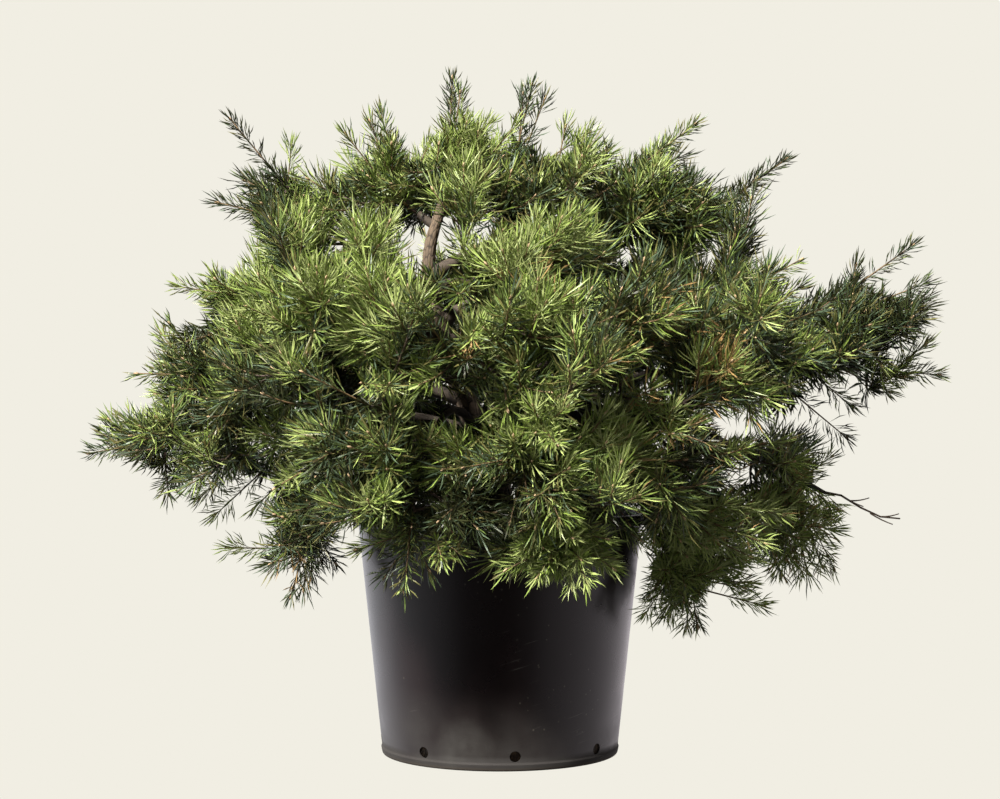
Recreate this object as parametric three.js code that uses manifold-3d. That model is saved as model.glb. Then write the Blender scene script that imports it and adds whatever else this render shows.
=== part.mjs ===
// A low, spreading Scots pine in a round nursery pot.
// Millimetres, +Z up. The origin is the centre of the pot's flat underside, and -Y is the front.
// A short trunk stands on the compost and carries arching boughs. Each bough ends where its mass of
// needles begins, and the mass grows on along the same curve.
import * as THREE from 'three';
import { mergeVertices } from 'three/addons/utils/BufferGeometryUtils.js';
import Module from 'manifold-3d';

const wasm = await Module();
wasm.setup();

// Touching pieces keep this gap, and foliage keeps a wider one to whatever isn't its own
const SEAT_GAP = 0.3;
const SPACE_GAP = 0.8;
// No two corners of a mass are as close as this
const CORNER_GAP = 0.004;

const POT = {
  height: 335,
  baseRadius: 165,
  rimRadius: 200,
  wall: 3.5,
  floor: 5,
  footChamfer: 4,
  lipOut: 7,
  lipHeight: 16,
  lipChamfer: 2,
  sides: 32,
  drainHoles: 8,
  drainRadius: 7.5,
  drainHeight: 20,
  drainSides: 8,
  drillLength: 30,
  drainTurn: THREE.MathUtils.degToRad(-83),
  // Turns the faces so that each drain lies in the middle of one
  facetTurn: THREE.MathUtils.degToRad(1.375),
};

const COMPOST = { belowRim: 30, crown: 7, flatRadius: 60, shoulderRadius: 120, shoulderRise: 4 };
const COMPOST_TOP = POT.height - COMPOST.belowRim + COMPOST.crown;

const TRUNK = {
  footRadius: 26,
  tipRadius: 6.5,
  // How fast it thins, how much its root flare adds at the foot, and over what height that fades
  taper: 0.8,
  flare: 0.45,
  flareHeight: 26,
  sides: 10,
  // The rings stand closer together towards the foot
  rings: 10,
  crowding: 1.6,
  // Its centre line, from under the flat cut at its foot to the top fork
  lean: [
    [6, 0, COMPOST_TOP - 20],
    [-22, 4, 420],
    [-66, 8, 540],
    [-98, 8, 650],
    [-98, 4, 705],
    [-80, 2, 768],
  ],
};

// Handles shape a branch curve: its straight ends are this share of its span, and more if it bends
const HANDLE = { straight: 0.33, bent: 0.35 };
// A bough's collar swells it by this share where it leaves the trunk
const BOUGH = { rootRadius: 9.5, tipRadius: 4, collar: 0.3, collarLength: 0.05, sides: 5, rings: 4 };
// A stem starts as thick as its bough's tip, or thicker where it stands on the trunk itself
const STEM = { trunkRadius: 7, rootRadius: 4, tipRadius: 2.6, sides: 3, rings: 3 };
const TWIG = { rootRadius: 1.8, sunk: 8, angle: THREE.MathUtils.degToRad(56), lift: 0.3 };

// A plume is a needled shoot: a slim core between three-cornered rings, with a spike on each face.
// A spike reaches out by the plume's reach and forward by `lean`, and the core ends in one of
// length `tip`. Leading shoots are slimmer than side shoots.
const PLUME = {
  whorls: 2,
  whorlLength: 30,
  twigRadius: 4,
  coreRadius: 8,
  leaderReach: 32,
  sideReach: 48,
  lean: 34,
  tip: 50,
  jitter: 0.15,
};
const PLUME_LENGTH = PLUME.whorls * PLUME.whorlLength + PLUME.tip;

// Each mass has up to `count` side shoots. One that finds no room is turned and shortened a little.
const SIDE = { count: 6, tries: 10, turn: 0.7, shorten: 0.06, tipShare: 0.55, offset: 0.6 };

// A further leading shoot leaves the stem where the cosine of its angle to it is this
const FURTHER = { cosine: 0.62, firstShare: 0.05, step: 0.01 };

// Side shoots end under a dome, so that only leading shoots make the crown's outline there
const DOME = { height: 915, fall: 0.0006 };

// One row for each mass of needles. It is carried on a bough that leaves the trunk at height `fork`,
// climbing at `rise` degrees, and its leading shoot ends at `tip`, pointing `pitch` degrees above
// the horizon. `bare` is the share of that curve with no needles, which is the bough. `spread` is
// how far side shoots stand off the stem, and `also` lists where further leading shoots end.
const MASSES = [
  { name: 'crown_top', fork: 768, tip: [-67, 20, 955], rise: 75, pitch: 88, bare: 0, spread: 118,
    also: [[30, -20, 882]] },
  { name: 'upper_mid_left', fork: 735, tip: [-172, 40, 910], rise: 30, pitch: 70, bare: 0, spread: 92,
    also: [] },
  { name: 'upper_mid_right', fork: 752, tip: [48, 60, 950], rise: 25, pitch: 86, bare: 0, spread: 96,
    also: [[134, 20, 874]] },
  { name: 'upper_left', fork: 610, tip: [-384, 0, 892], rise: 35, pitch: 52, bare: 0.36, spread: 96,
    also: [[-402, -20, 768], [-262, 60, 856]] },
  { name: 'left_shoulder', fork: 545, tip: [-462, 0, 652], rise: 25, pitch: 8, bare: 0.4, spread: 92,
    also: [[-362, 80, 728]] },
  { name: 'left_mid', fork: 490, tip: [-508, -60, 528], rise: 20, pitch: 4, bare: 0.4, spread: 104,
    also: [[-446, -140, 600]] },
  { name: 'left_low', fork: 440, tip: [-575, -50, 416], rise: 22, pitch: -8, bare: 0.38, spread: 104,
    also: [[-410, 30, 322]] },
  { name: 'left_bottom', fork: 385, tip: [-290, -60, 212], rise: 52, pitch: -80, bare: 0.44, spread: 84,
    also: [[-388, -20, 286]] },
  { name: 'upper_right', fork: 665, tip: [282, 0, 884], rise: 30, pitch: 42, bare: 0.36, spread: 98,
    also: [[196, -60, 838]] },
  { name: 'right_shoulder', fork: 600, tip: [416, 50, 840], rise: 32, pitch: 42, bare: 0.4, spread: 94,
    also: [] },
  { name: 'right_upper', fork: 560, tip: [424, -40, 690], rise: 22, pitch: 38, bare: 0.4, spread: 100,
    also: [[340, 60, 716]] },
  { name: 'right_high', fork: 505, tip: [586, 0, 714], rise: 20, pitch: 42, bare: 0.46, spread: 92,
    also: [] },
  { name: 'right_tip', fork: 462, tip: [625, 0, 526], rise: 22, pitch: -4, bare: 0.46, spread: 88,
    also: [[496, 20, 432]] },
  { name: 'right_low', fork: 425, tip: [560, 0, 322], rise: 42, pitch: -16, bare: 0.48, spread: 98,
    also: [[466, -40, 250]] },
  { name: 'right_hanging', fork: 392, tip: [272, -70, 172], rise: 58, pitch: -86, bare: 0.5, spread: 84,
    also: [[372, -50, 206]] },
  { name: 'front_high', fork: 640, tip: [6, -340, 706], rise: 15, pitch: 46, bare: 0, spread: 110,
    also: [[112, -280, 736]] },
  { name: 'left_front', fork: 580, tip: [-326, -290, 612], rise: 15, pitch: 30, bare: 0.36, spread: 112,
    also: [[-240, -300, 668]] },
  { name: 'front_left', fork: 520, tip: [-168, -440, 512], rise: 12, pitch: 8, bare: 0.3, spread: 110,
    also: [[-250, -370, 530]] },
  { name: 'front_centre', fork: 555, tip: [-30, -470, 574], rise: 12, pitch: 16, bare: 0.3, spread: 108,
    also: [[-110, -420, 620]] },
  { name: 'front_right', fork: 570, tip: [138, -430, 592], rise: 12, pitch: 18, bare: 0.3, spread: 108,
    also: [[216, -350, 640]] },
  { name: 'front_low', fork: 450, tip: [70, -480, 436], rise: 20, pitch: -14, bare: 0.36, spread: 108,
    also: [[-50, -450, 410]] },
  { name: 'front_apron', fork: 372, tip: [90, -340, 250], rise: 56, pitch: -80, bare: 0.44, spread: 84,
    also: [[0, -370, 280]] },
  { name: 'front_apron_left', fork: 388, tip: [-120, -330, 246], rise: 52, pitch: -80, bare: 0.44,
    spread: 84, also: [[-190, -300, 300]] },
  { name: 'left_front_low', fork: 425, tip: [-290, -300, 376], rise: 26, pitch: -22, bare: 0.4, spread: 102,
    also: [] },
  { name: 'right_front', fork: 535, tip: [420, -240, 610], rise: 18, pitch: 26, bare: 0.36, spread: 110,
    also: [[290, -320, 530]] },
  { name: 'right_front_low', fork: 440, tip: [270, -350, 432], rise: 26, pitch: -14, bare: 0.4, spread: 106,
    also: [[380, -220, 440]] },
  { name: 'back_high', fork: 630, tip: [20, 400, 660], rise: 24, pitch: 14, bare: 0, spread: 116,
    also: [[70, 290, 800], [-120, 300, 760]] },
  { name: 'back_left', fork: 530, tip: [-330, 330, 606], rise: 22, pitch: 24, bare: 0.4, spread: 112,
    also: [[-170, 420, 560]] },
  { name: 'back_right', fork: 540, tip: [400, 300, 620], rise: 22, pitch: 24, bare: 0.4, spread: 112,
    also: [[200, 430, 560]] },
  { name: 'back_low_left', fork: 425, tip: [-170, 440, 420], rise: 32, pitch: -14, bare: 0.4, spread: 112,
    also: [[-390, 240, 390], [-270, 400, 310]] },
  { name: 'back_low_right', fork: 412, tip: [170, 450, 400], rise: 34, pitch: -18, bare: 0.4, spread: 112,
    also: [[400, 280, 410], [270, 400, 300]] },
];

const COLOURS = {
  pot: 0x232024,
  compost: 0x2b1d14,
  trunk: 0x7a5a44,
  bough: 0x6b4d3a,
  needles: [0x5f7f2e, 0x4d7034, 0x6d8b35, 0x426336, 0x56792f],
};

const UP = new THREE.Vector3(0, 0, 1);
const GOLDEN_ANGLE = THREE.MathUtils.degToRad(137.5);
const vector = (point) => new THREE.Vector3(...point);
const mix = THREE.MathUtils.lerp;

// A repeatable row of numbers from 0 to 1: each is the last one times a fixed factor, modulo a prime
function seeded(seed) {
  const factor = 48271;
  const prime = 2147483647;
  let state = (seed * 7919 + 104729) % prime;
  return () => {
    state = (state * factor) % prime;
    return state / prime;
  };
}

// A closed geometry as a solid that can be cut and joined
function solidOf(geometry) {
  const bare = geometry.index ? geometry.clone() : geometry;
  for (const name of ['normal', 'uv']) bare.deleteAttribute(name);
  const merged = mergeVertices(bare, 1e-4);
  return new wasm.Manifold(new wasm.Mesh({
    numProp: 3,
    vertProperties: new Float32Array(merged.attributes.position.array),
    triVerts: new Uint32Array(merged.index.array),
  }));
}

function geometryOf(solid) {
  const mesh = solid.getMesh();
  const positions = new Float32Array(mesh.numVert * 3);
  for (let i = 0; i < mesh.numVert; i += 1) {
    positions.set(mesh.vertProperties.subarray(i * mesh.numProp, i * mesh.numProp + 3), i * 3);
  }
  const geometry = new THREE.BufferGeometry();
  geometry.setAttribute('position', new THREE.BufferAttribute(positions, 3));
  geometry.setIndex(new THREE.BufferAttribute(new Uint32Array(mesh.triVerts), 1));
  return geometry;
}

// Whether a solid is in one piece, with no two corners in the same place
function isSound(solid) {
  const { numVert, numProp, vertProperties } = solid.getMesh();
  const places = new Set();
  for (let i = 0; i < numVert; i += 1) {
    const corner = vertProperties.subarray(i * numProp, i * numProp + 3);
    places.add(Array.from(corner, (value) => Math.round(value / CORNER_GAP)).join());
  }
  return places.size === numVert && solid.decompose().length === 1;
}

// The largest piece of a solid, without any scraps that a cut has left
function largestPiece(solid) {
  return solid.decompose().reduce((best, piece) => (piece.volume() > best.volume() ? piece : best));
}

// A wooden limb: a cylinder whose axis is laid along part of a curve, and whose radius follows it.
// `side` is the level direction that the limb never points along.
function limbAlong({ curve, from = 0, to = 1, radius, sides, rings, crowding = 1, side, grow = 0 }) {
  const cylinder = new THREE.CylinderGeometry(1, 1, 1, sides, rings);
  const position = cylinder.attributes.position;
  const point = new THREE.Vector3();
  for (let i = 0; i < position.count; i += 1) {
    point.fromBufferAttribute(position, i);
    const share = mix(from, to, (point.y + 0.5) ** crowding);
    const tangent = curve.getTangentAt(share);
    const out = new THREE.Vector3().crossVectors(side, tangent).normalize();
    const across = new THREE.Vector3().crossVectors(out, tangent);
    const size = radius(share) + grow;
    const placed = curve.getPointAt(share)
      .addScaledVector(out, point.x * size)
      .addScaledVector(across, point.z * size);
    if (Math.abs(point.y) === 0.5) placed.addScaledVector(tangent, Math.sign(point.y) * grow);
    position.setXYZ(i, placed.x, placed.y, placed.z);
  }
  return solidOf(cylinder);
}

// A solid turned round the pot's axis, from the radius and height of each point of its outline
function turnedSolid(profile) {
  const outline = profile.map(([radius, height]) => new THREE.Vector2(radius, height));
  return solidOf(new THREE.LatheGeometry(outline, POT.sides).rotateX(Math.PI / 2).rotateZ(POT.facetTurn));
}

// The pot: one wall turned round its axis, with a chamfered foot, a stiff lip and drain holes
function potSolid() {
  const { height, baseRadius, rimRadius, wall, floor, lipOut, lipHeight, lipChamfer, footChamfer } = POT;
  const outer = (z) => mix(baseRadius, rimRadius, z / height);
  const lipRadius = rimRadius + lipOut;
  const profile = [
    [0, 0],
    [baseRadius - footChamfer, 0],
    [outer(footChamfer), footChamfer],
    [outer(height - lipHeight), height - lipHeight],
    [lipRadius, height - lipHeight + lipChamfer],
    [lipRadius, height - lipChamfer],
    [lipRadius - lipChamfer, height],
    [rimRadius - wall, height],
    [outer(floor) - wall, floor],
    [0, floor],
  ];
  let pot = turnedSolid(profile);
  for (let i = 0; i < POT.drainHoles; i += 1) {
    const { drainRadius, drillLength, drainSides } = POT;
    const drill = new THREE.CylinderGeometry(drainRadius, drainRadius, drillLength, drainSides);
    drill.rotateZ(Math.PI / 2);
    drill.translate(outer(POT.drainHeight), 0, POT.drainHeight);
    drill.rotateZ(POT.drainTurn + (i * 2 * Math.PI) / POT.drainHoles);
    pot = pot.subtract(solidOf(drill));
  }
  return pot;
}

// The compost fills the pot from its floor to below the rim, a little higher round the trunk
function compostSolid() {
  const inner = (z) => mix(POT.baseRadius, POT.rimRadius, z / POT.height) - POT.wall - SEAT_GAP;
  const bottom = POT.floor + SEAT_GAP;
  const edge = POT.height - COMPOST.belowRim;
  const profile = [
    [0, bottom],
    [inner(bottom), bottom],
    [inner(edge), edge],
    [COMPOST.shoulderRadius, edge + COMPOST.shoulderRise],
    [COMPOST.flatRadius, COMPOST_TOP],
    [0, COMPOST_TOP],
  ];
  return turnedSolid(profile);
}

const trunkCurve = new THREE.CatmullRomCurve3(TRUNK.lean.map(vector));
const trunkFoot = COMPOST_TOP + SEAT_GAP;

// The trunk thins towards its tip and spreads at its foot
function trunkRadius(share) {
  const height = Math.max(trunkCurve.getPointAt(share).z - trunkFoot, 0);
  const radius = mix(TRUNK.footRadius, TRUNK.tipRadius, share ** TRUNK.taper);
  return radius * (1 + TRUNK.flare * Math.exp(-height / TRUNK.flareHeight));
}

function trunkSolid(grow = 0) {
  return limbAlong({
    curve: trunkCurve, radius: trunkRadius, sides: TRUNK.sides, rings: TRUNK.rings,
    crowding: TRUNK.crowding, side: new THREE.Vector3(0, 1, 0), grow,
  }).trimByPlane([0, 0, 1], trunkFoot - grow);
}

// The share of the trunk's curve that lies at a height, found by halving
function trunkShareAt(height) {
  let low = 0;
  let high = 1;
  while (high - low > 1e-6) {
    const middle = (low + high) / 2;
    if (trunkCurve.getPointAt(middle).z < height) low = middle;
    else high = middle;
  }
  return low;
}

// A direction at an angle above the horizon, in the upright plane of `outward`
function pitched(outward, degrees) {
  const angle = THREE.MathUtils.degToRad(degrees);
  return outward.clone().multiplyScalar(Math.cos(angle)).addScaledVector(UP, Math.sin(angle));
}

// The curve of a bough and its stem: it leaves `start` at one pitch and reaches `end` at another.
// The more it bends between them, the longer its handles.
function branchCurve(start, end, rise, pitch) {
  const outward = end.clone().sub(start).setZ(0).normalize();
  const bend = Math.abs(rise - pitch) / 180;
  const handle = start.distanceTo(end) * (HANDLE.straight + HANDLE.bent * bend);
  const curve = new THREE.CubicBezierCurve3(
    start,
    start.clone().addScaledVector(pitched(outward, rise), handle),
    end.clone().addScaledVector(pitched(outward, pitch), -handle),
    end,
  );
  return { curve, side: new THREE.Vector3().crossVectors(UP, outward) };
}

// A plume with the twig that carries it, as one closed surface. Rings of three corners, each turned
// half a step from the last, leave six faces between them, and each face is drawn out to a spike
// that leans forward. `root` is the middle of the wood that carries the twig.
function plumeSolid({ root, base, direction, reach, random }) {
  const helper = Math.abs(direction.z) < 0.9 ? UP : new THREE.Vector3(1, 0, 0);
  const out = new THREE.Vector3().crossVectors(direction, helper).normalize();
  const across = new THREE.Vector3().crossVectors(direction, out);
  const turn = random() * Math.PI;
  const vertices = [];
  const faces = [];
  const add = (point) => vertices.push(point.x, point.y, point.z) / 3 - 1;
  const ring = (centre, radius, step) => [0, 1, 2].map((corner) => {
    const angle = turn + (corner * 2 + step) * (Math.PI / 3);
    return add(centre.clone()
      .addScaledVector(out, Math.cos(angle) * radius)
      .addScaledVector(across, Math.sin(angle) * radius));
  });
  const pointOf = (index) => vector(vertices.slice(index * 3, index * 3 + 3));
  const spike = (a, b, c) => {
    const middle = pointOf(a).add(pointOf(b)).add(pointOf(c)).divideScalar(3);
    const away = middle.clone().sub(base);
    away.addScaledVector(direction, -away.dot(direction)).normalize();
    const size = 1 + (random() * 2 - 1) * PLUME.jitter;
    const tip = add(middle
      .addScaledVector(away, reach * size)
      .addScaledVector(direction, PLUME.lean * size));
    faces.push(a, b, tip, b, c, tip, c, a, tip);
  };
  const rings = [ring(root, TWIG.rootRadius, 0), ring(base, PLUME.twigRadius, 1)];
  faces.push(rings[0][2], rings[0][1], rings[0][0]);
  for (let i = 0; i < 3; i += 1) {
    const next = (i + 1) % 3;
    faces.push(rings[0][i], rings[0][next], rings[1][i], rings[0][next], rings[1][next], rings[1][i]);
  }
  for (let whorl = 1; whorl <= PLUME.whorls; whorl += 1) {
    const back = rings.at(-1);
    const centre = base.clone().addScaledVector(direction, PLUME.whorlLength * whorl);
    const front = ring(centre, PLUME.coreRadius, whorl + 1);
    for (let i = 0; i < 3; i += 1) {
      const next = (i + 1) % 3;
      spike(back[i], back[next], front[i]);
      spike(back[next], front[next], front[i]);
    }
    rings.push(front);
  }
  const apex = add(base.clone().addScaledVector(direction, PLUME_LENGTH));
  const last = rings.at(-1);
  for (let i = 0; i < 3; i += 1) faces.push(last[i], last[(i + 1) % 3], apex);
  const geometry = new THREE.BufferGeometry();
  geometry.setAttribute('position', new THREE.BufferAttribute(new Float32Array(vertices), 3));
  geometry.setIndex(faces);
  return solidOf(geometry);
}

const pot = potSolid();
const compost = compostSolid();
const trunk = trunkSolid();
const trunkSeat = trunkSolid(SEAT_GAP);

// Each mass's branch curve, from the trunk's centre line to the leading tip
const branches = MASSES.map((mass, index) => {
  const start = trunkCurve.getPointAt(trunkShareAt(mass.fork));
  const { curve, side } = branchCurve(start, vector(mass.tip), mass.rise, mass.pitch);
  const length = curve.getLength();
  return {
    ...mass,
    curve,
    side,
    stemStart: mass.bare > 0 ? mass.bare + (2 * SEAT_GAP) / length : 0,
    stemEnd: 1 - PLUME_LENGTH / length,
    random: seeded(index + 1),
    shoots: [],
  };
});

// What foliage has to stay clear of, each with the name of the mass or bough that it is part of
const obstacles = [];

function addObstacle(owner, solid) {
  obstacles.push({ owner, solid, box: solid.boundingBox() });
}

const boxesMeet = (a, b) => [0, 1, 2].every((axis) => (
  a.min[axis] - SPACE_GAP < b.max[axis] && b.min[axis] - SPACE_GAP < a.max[axis]
));

// Whether a solid keeps its distance from everything but what it may touch
function isClear(solid, mayTouch) {
  const box = solid.boundingBox();
  return obstacles.every((other) => mayTouch.includes(other.owner)
    || !boxesMeet(box, other.box)
    || solid.minGap(other.solid, 2 * SPACE_GAP) > SPACE_GAP);
}

// A bough thins from its collar on the trunk to where its mass of needles begins
function boughSolid(branch, grow = 0) {
  const radius = (share) => mix(BOUGH.rootRadius, BOUGH.tipRadius, share / branch.bare)
    * (1 + BOUGH.collar * Math.exp(-share / BOUGH.collarLength));
  return limbAlong({
    curve: branch.curve, to: branch.bare, radius, sides: BOUGH.sides, rings: BOUGH.rings,
    side: branch.side, grow,
  });
}

function stemSolid(branch) {
  const { curve, stemStart, stemEnd, side } = branch;
  const share = (at) => (at - stemStart) / (stemEnd - stemStart);
  const rootRadius = branch.bare > 0 ? STEM.rootRadius : STEM.trunkRadius;
  const radius = (at) => mix(rootRadius, STEM.tipRadius, share(at));
  return limbAlong({
    curve, from: stemStart, to: stemEnd, radius, sides: STEM.sides, rings: STEM.rings, side,
  });
}

addObstacle('pot', pot);
addObstacle('compost', compost);
addObstacle('trunk', trunk);

// Boughs are cut back from the trunk and from the boughs before them
const boughs = branches.filter((branch) => branch.bare > 0);
const boughSeats = [];
for (const branch of boughs) {
  let bough = boughSolid(branch).subtract(trunkSeat);
  for (const seat of boughSeats) bough = bough.subtract(seat);
  branch.bough = largestPiece(bough);
  boughSeats.push(boughSolid(branch, SEAT_GAP));
  addObstacle(`bough ${branch.name}`, branch.bough);
}

// A stem that starts on the trunk is cut back from it, and the rest start clear of their bough
for (const branch of branches) {
  const stem = stemSolid(branch);
  branch.mass = branch.bare > 0 ? stem : largestPiece(stem.subtract(trunkSeat));
  if (!isClear(branch.mass, [`bough ${branch.name}`, 'trunk'])) {
    throw new Error(`the stem of ${branch.name} has no room`);
  }
  addObstacle(branch.name, branch.mass);
}

// Fuses a shoot on to its mass, unless it would touch anything but its own mass, or the joint would
// be unsound. `alone` also keeps it off its mass's other shoots.
function placeShoot(branch, shoot, alone) {
  const solid = plumeSolid({ ...shoot, random: branch.random });
  const crowded = alone && branch.shoots.some((other) => solid.minGap(other, SPACE_GAP) < SPACE_GAP);
  if (crowded || !isClear(solid, [branch.name])) return false;
  const joined = branch.mass.add(solid);
  if (!isSound(joined)) return false;
  branch.mass = joined;
  branch.shoots.push(solid);
  addObstacle(branch.name, solid);
  return true;
}

// Calls `shootFor` with 0, 1, 2... until it gives a shoot that finds room
function placeFirst(branch, shootFor, alone = true) {
  for (let attempt = 0; attempt < SIDE.tries; attempt += 1) {
    const shoot = shootFor(attempt);
    if (shoot && placeShoot(branch, shoot, alone)) return;
  }
}

// The leading shoot carries straight on from the end of the stem
function leadingShoot({ curve, stemEnd, tip }) {
  const base = curve.getPointAt(stemEnd);
  const direction = vector(tip).sub(base).normalize();
  const root = base.clone().addScaledVector(direction, -TWIG.sunk);
  return { root, base, direction, reach: PLUME.leaderReach };
}

// A further leading shoot leaves the stem as late as it can while still pointing forward
function furtherShoot({ curve, stemStart, stemEnd }, end) {
  const tip = vector(end);
  const forward = (share) => tip.clone().sub(curve.getPointAt(share)).normalize()
    .dot(curve.getTangentAt(share));
  let share = stemEnd;
  while (share > stemStart + FURTHER.firstShare && forward(share) < FURTHER.cosine) {
    share -= FURTHER.step;
  }
  const root = curve.getPointAt(share);
  const direction = tip.clone().sub(root).normalize().addScaledVector(UP, TWIG.lift).normalize();
  const base = tip.clone().addScaledVector(direction, -PLUME_LENGTH);
  return { root, base, direction, reach: PLUME.leaderReach };
}

// Side shoots stand round the stem, each a golden angle on from the last, shorter towards the
// stem's end, and turned up at their own. None is given that would end above the dome.
function sideShoot({ curve, side, stemStart, stemEnd, spread }, index, attempt) {
  const share = mix(stemStart, stemEnd, (index + SIDE.offset) / SIDE.count);
  const root = curve.getPointAt(share);
  const tangent = curve.getTangentAt(share);
  const out = new THREE.Vector3().crossVectors(side, tangent).normalize();
  const turn = (index + 1) * GOLDEN_ANGLE + attempt * SIDE.turn;
  const outward = tangent.clone().multiplyScalar(Math.cos(TWIG.angle))
    .addScaledVector(out, Math.sin(TWIG.angle) * Math.cos(turn))
    .addScaledVector(side, Math.sin(TWIG.angle) * Math.sin(turn));
  const length = spread * (1 - SIDE.shorten * attempt) * mix(1, SIDE.tipShare, index / SIDE.count);
  const base = root.clone().addScaledVector(outward, length);
  const direction = outward.clone().addScaledVector(UP, TWIG.lift).normalize();
  const tip = base.clone().addScaledVector(direction, PLUME_LENGTH);
  const dome = DOME.height - DOME.fall * (tip.x ** 2 + tip.y ** 2);
  return tip.z < dome ? { root, base, direction, reach: PLUME.sideReach } : null;
}

for (const branch of branches) placeFirst(branch, () => leadingShoot(branch));
for (const branch of branches) {
  for (const end of branch.also) placeFirst(branch, () => furtherShoot(branch, end), false);
}
// The masses take turns, so that none fills the room of its neighbours
for (let index = 0; index < SIDE.count; index += 1) {
  for (const branch of branches) {
    placeFirst(branch, (attempt) => sideShoot(branch, index, attempt));
  }
}

const group = new THREE.Group();

function addNode(name, solid, colour, roughness) {
  const material = new THREE.MeshStandardMaterial({ color: colour, roughness, metalness: 0 });
  const mesh = new THREE.Mesh(geometryOf(solid), material);
  mesh.name = name;
  group.add(mesh);
}

addNode('pot', pot, COLOURS.pot, 0.45);
addNode('compost', compost, COLOURS.compost, 0.95);
addNode('trunk', trunk, COLOURS.trunk, 0.9);
for (const branch of boughs) addNode(`bough_${branch.name}`, branch.bough, COLOURS.bough, 0.9);
branches.forEach(({ name, mass }, index) => {
  addNode(`needles_${name}`, mass, COLOURS.needles[index % COLOURS.needles.length], 0.7);
});

export default group;
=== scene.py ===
import functools
import math

import bpy
import numpy as np
from bpy.props import FloatProperty, FloatVectorProperty, IntProperty, PointerProperty
from bpy.types import Operator, Panel, PropertyGroup
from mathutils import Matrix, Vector


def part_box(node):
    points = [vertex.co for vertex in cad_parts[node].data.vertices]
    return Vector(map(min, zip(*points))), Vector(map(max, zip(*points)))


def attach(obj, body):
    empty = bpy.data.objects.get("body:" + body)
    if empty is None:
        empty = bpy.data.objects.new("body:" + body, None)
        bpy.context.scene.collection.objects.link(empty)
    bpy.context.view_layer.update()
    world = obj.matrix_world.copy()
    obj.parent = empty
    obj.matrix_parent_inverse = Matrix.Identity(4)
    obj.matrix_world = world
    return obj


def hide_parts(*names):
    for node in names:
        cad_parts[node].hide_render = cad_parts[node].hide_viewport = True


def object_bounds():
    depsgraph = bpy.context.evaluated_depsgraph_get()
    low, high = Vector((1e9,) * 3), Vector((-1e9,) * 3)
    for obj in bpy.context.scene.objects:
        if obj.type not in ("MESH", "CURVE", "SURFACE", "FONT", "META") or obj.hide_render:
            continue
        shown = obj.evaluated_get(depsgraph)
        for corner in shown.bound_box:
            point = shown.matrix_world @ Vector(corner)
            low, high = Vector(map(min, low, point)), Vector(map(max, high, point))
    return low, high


bl_info = {
    "name": "Potted Scots pine",
    "version": (1, 0, 0),
    "blender": (4, 5, 0),
    "location": "3D View > Sidebar > Pine",
    "description": "Makes a low, spreading pine in a nursery pot, in pieces",
    "category": "Object",
}

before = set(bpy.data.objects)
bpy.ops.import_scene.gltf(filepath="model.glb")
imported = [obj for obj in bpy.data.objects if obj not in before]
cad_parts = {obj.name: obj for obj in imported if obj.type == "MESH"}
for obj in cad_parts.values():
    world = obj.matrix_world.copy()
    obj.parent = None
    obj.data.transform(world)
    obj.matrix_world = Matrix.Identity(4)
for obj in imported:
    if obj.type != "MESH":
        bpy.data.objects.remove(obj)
CAD_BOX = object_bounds()

MM = 0.001
UP = np.array([0.0, 0.0, 1.0])
GOLDEN_ANGLE = math.radians(137.5)

# The pot and its compost, read from the frame
POT_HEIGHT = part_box("pot")[1].z / MM
LIP_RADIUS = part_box("pot")[1].x / MM
COMPOST_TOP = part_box("compost")[1].z / MM

# The pot's sizes that its box doesn't give
BASE_RADIUS = 165
RIM_RADIUS = 200
WALL = 3.5
FLOOR = 5
LIP_HEIGHT = 16
FOOT_STEP = 1.2
FOOT_STEP_HEIGHT = 9
DRAIN_HOLES = 8
DRAIN_RADIUS = 7.5
DRAIN_HEIGHT = 20
DRAIN_TURN = math.radians(-83)

# The compost, a little higher round the trunk
COMPOST_EDGE = POT_HEIGHT - 30
COMPOST_FLAT = 60
COMPOST_SHOULDER = (120, 4)

# The trunk's centre line, from under its foot to the top fork, and its radii
TRUNK_LEAN = [
    (6, 0, 292), (-22, 4, 420), (-66, 8, 540), (-98, 8, 650), (-98, 4, 705), (-80, 2, 768),
]
TRUNK_FOOT = COMPOST_TOP + 0.3
TRUNK_RADII = (26, 6.5)
TRUNK_TAPER = 0.8
TRUNK_FLARE = 0.45
FLARE_HEIGHT = 26

# Handles shape a branch curve: its straight ends are this share of its span, and more if it bends
HANDLE_STRAIGHT = 0.33
HANDLE_BENT = 0.35
# Limb radii: a bough's at the trunk and at its stem, the share that its collar adds and the stretch
# over which that fades, and the stems' at their starts and tips
BOUGH_RADII = (9.5, 4)
COLLAR = 0.3
COLLAR_LENGTH = 0.05
STEM_RADIUS = 4
TRUNK_STEM_RADIUS = 7
STEM_TIP_RADIUS = 2.2

# How shoots leave a stem: the length of a shoot with its needles, how deep its twig starts in the wood,
# the angle at which side shoots stand off, and how much every shoot turns up
SHOOT_LENGTH = 110
TWIG_SUNK = 8
TWIG_ANGLE = math.radians(56)
TWIG_LIFT = 0.3
# Side shoots: how many a stem has and how often each is tried, with a turn and a shorter twig for
# every further try. The last is the shortest, and the first stands a little past the bare stretch
SIDE_COUNT = 6
SIDE_TRIES = 10
SIDE_TURN = 0.7
SIDE_SHORTEN = 0.06
SIDE_TIP_SHARE = 0.55
SIDE_OFFSET = 0.6

# A further leading shoot leaves the stem where the cosine of its angle to it is this
FURTHER_COSINE = 0.62
FURTHER_FIRST = 0.05
FURTHER_STEP = 0.01

# Side shoots end under a dome, so that only leading shoots make the crown's outline there
DOME_HEIGHT = 915
DOME_FALL = 0.0006

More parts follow.
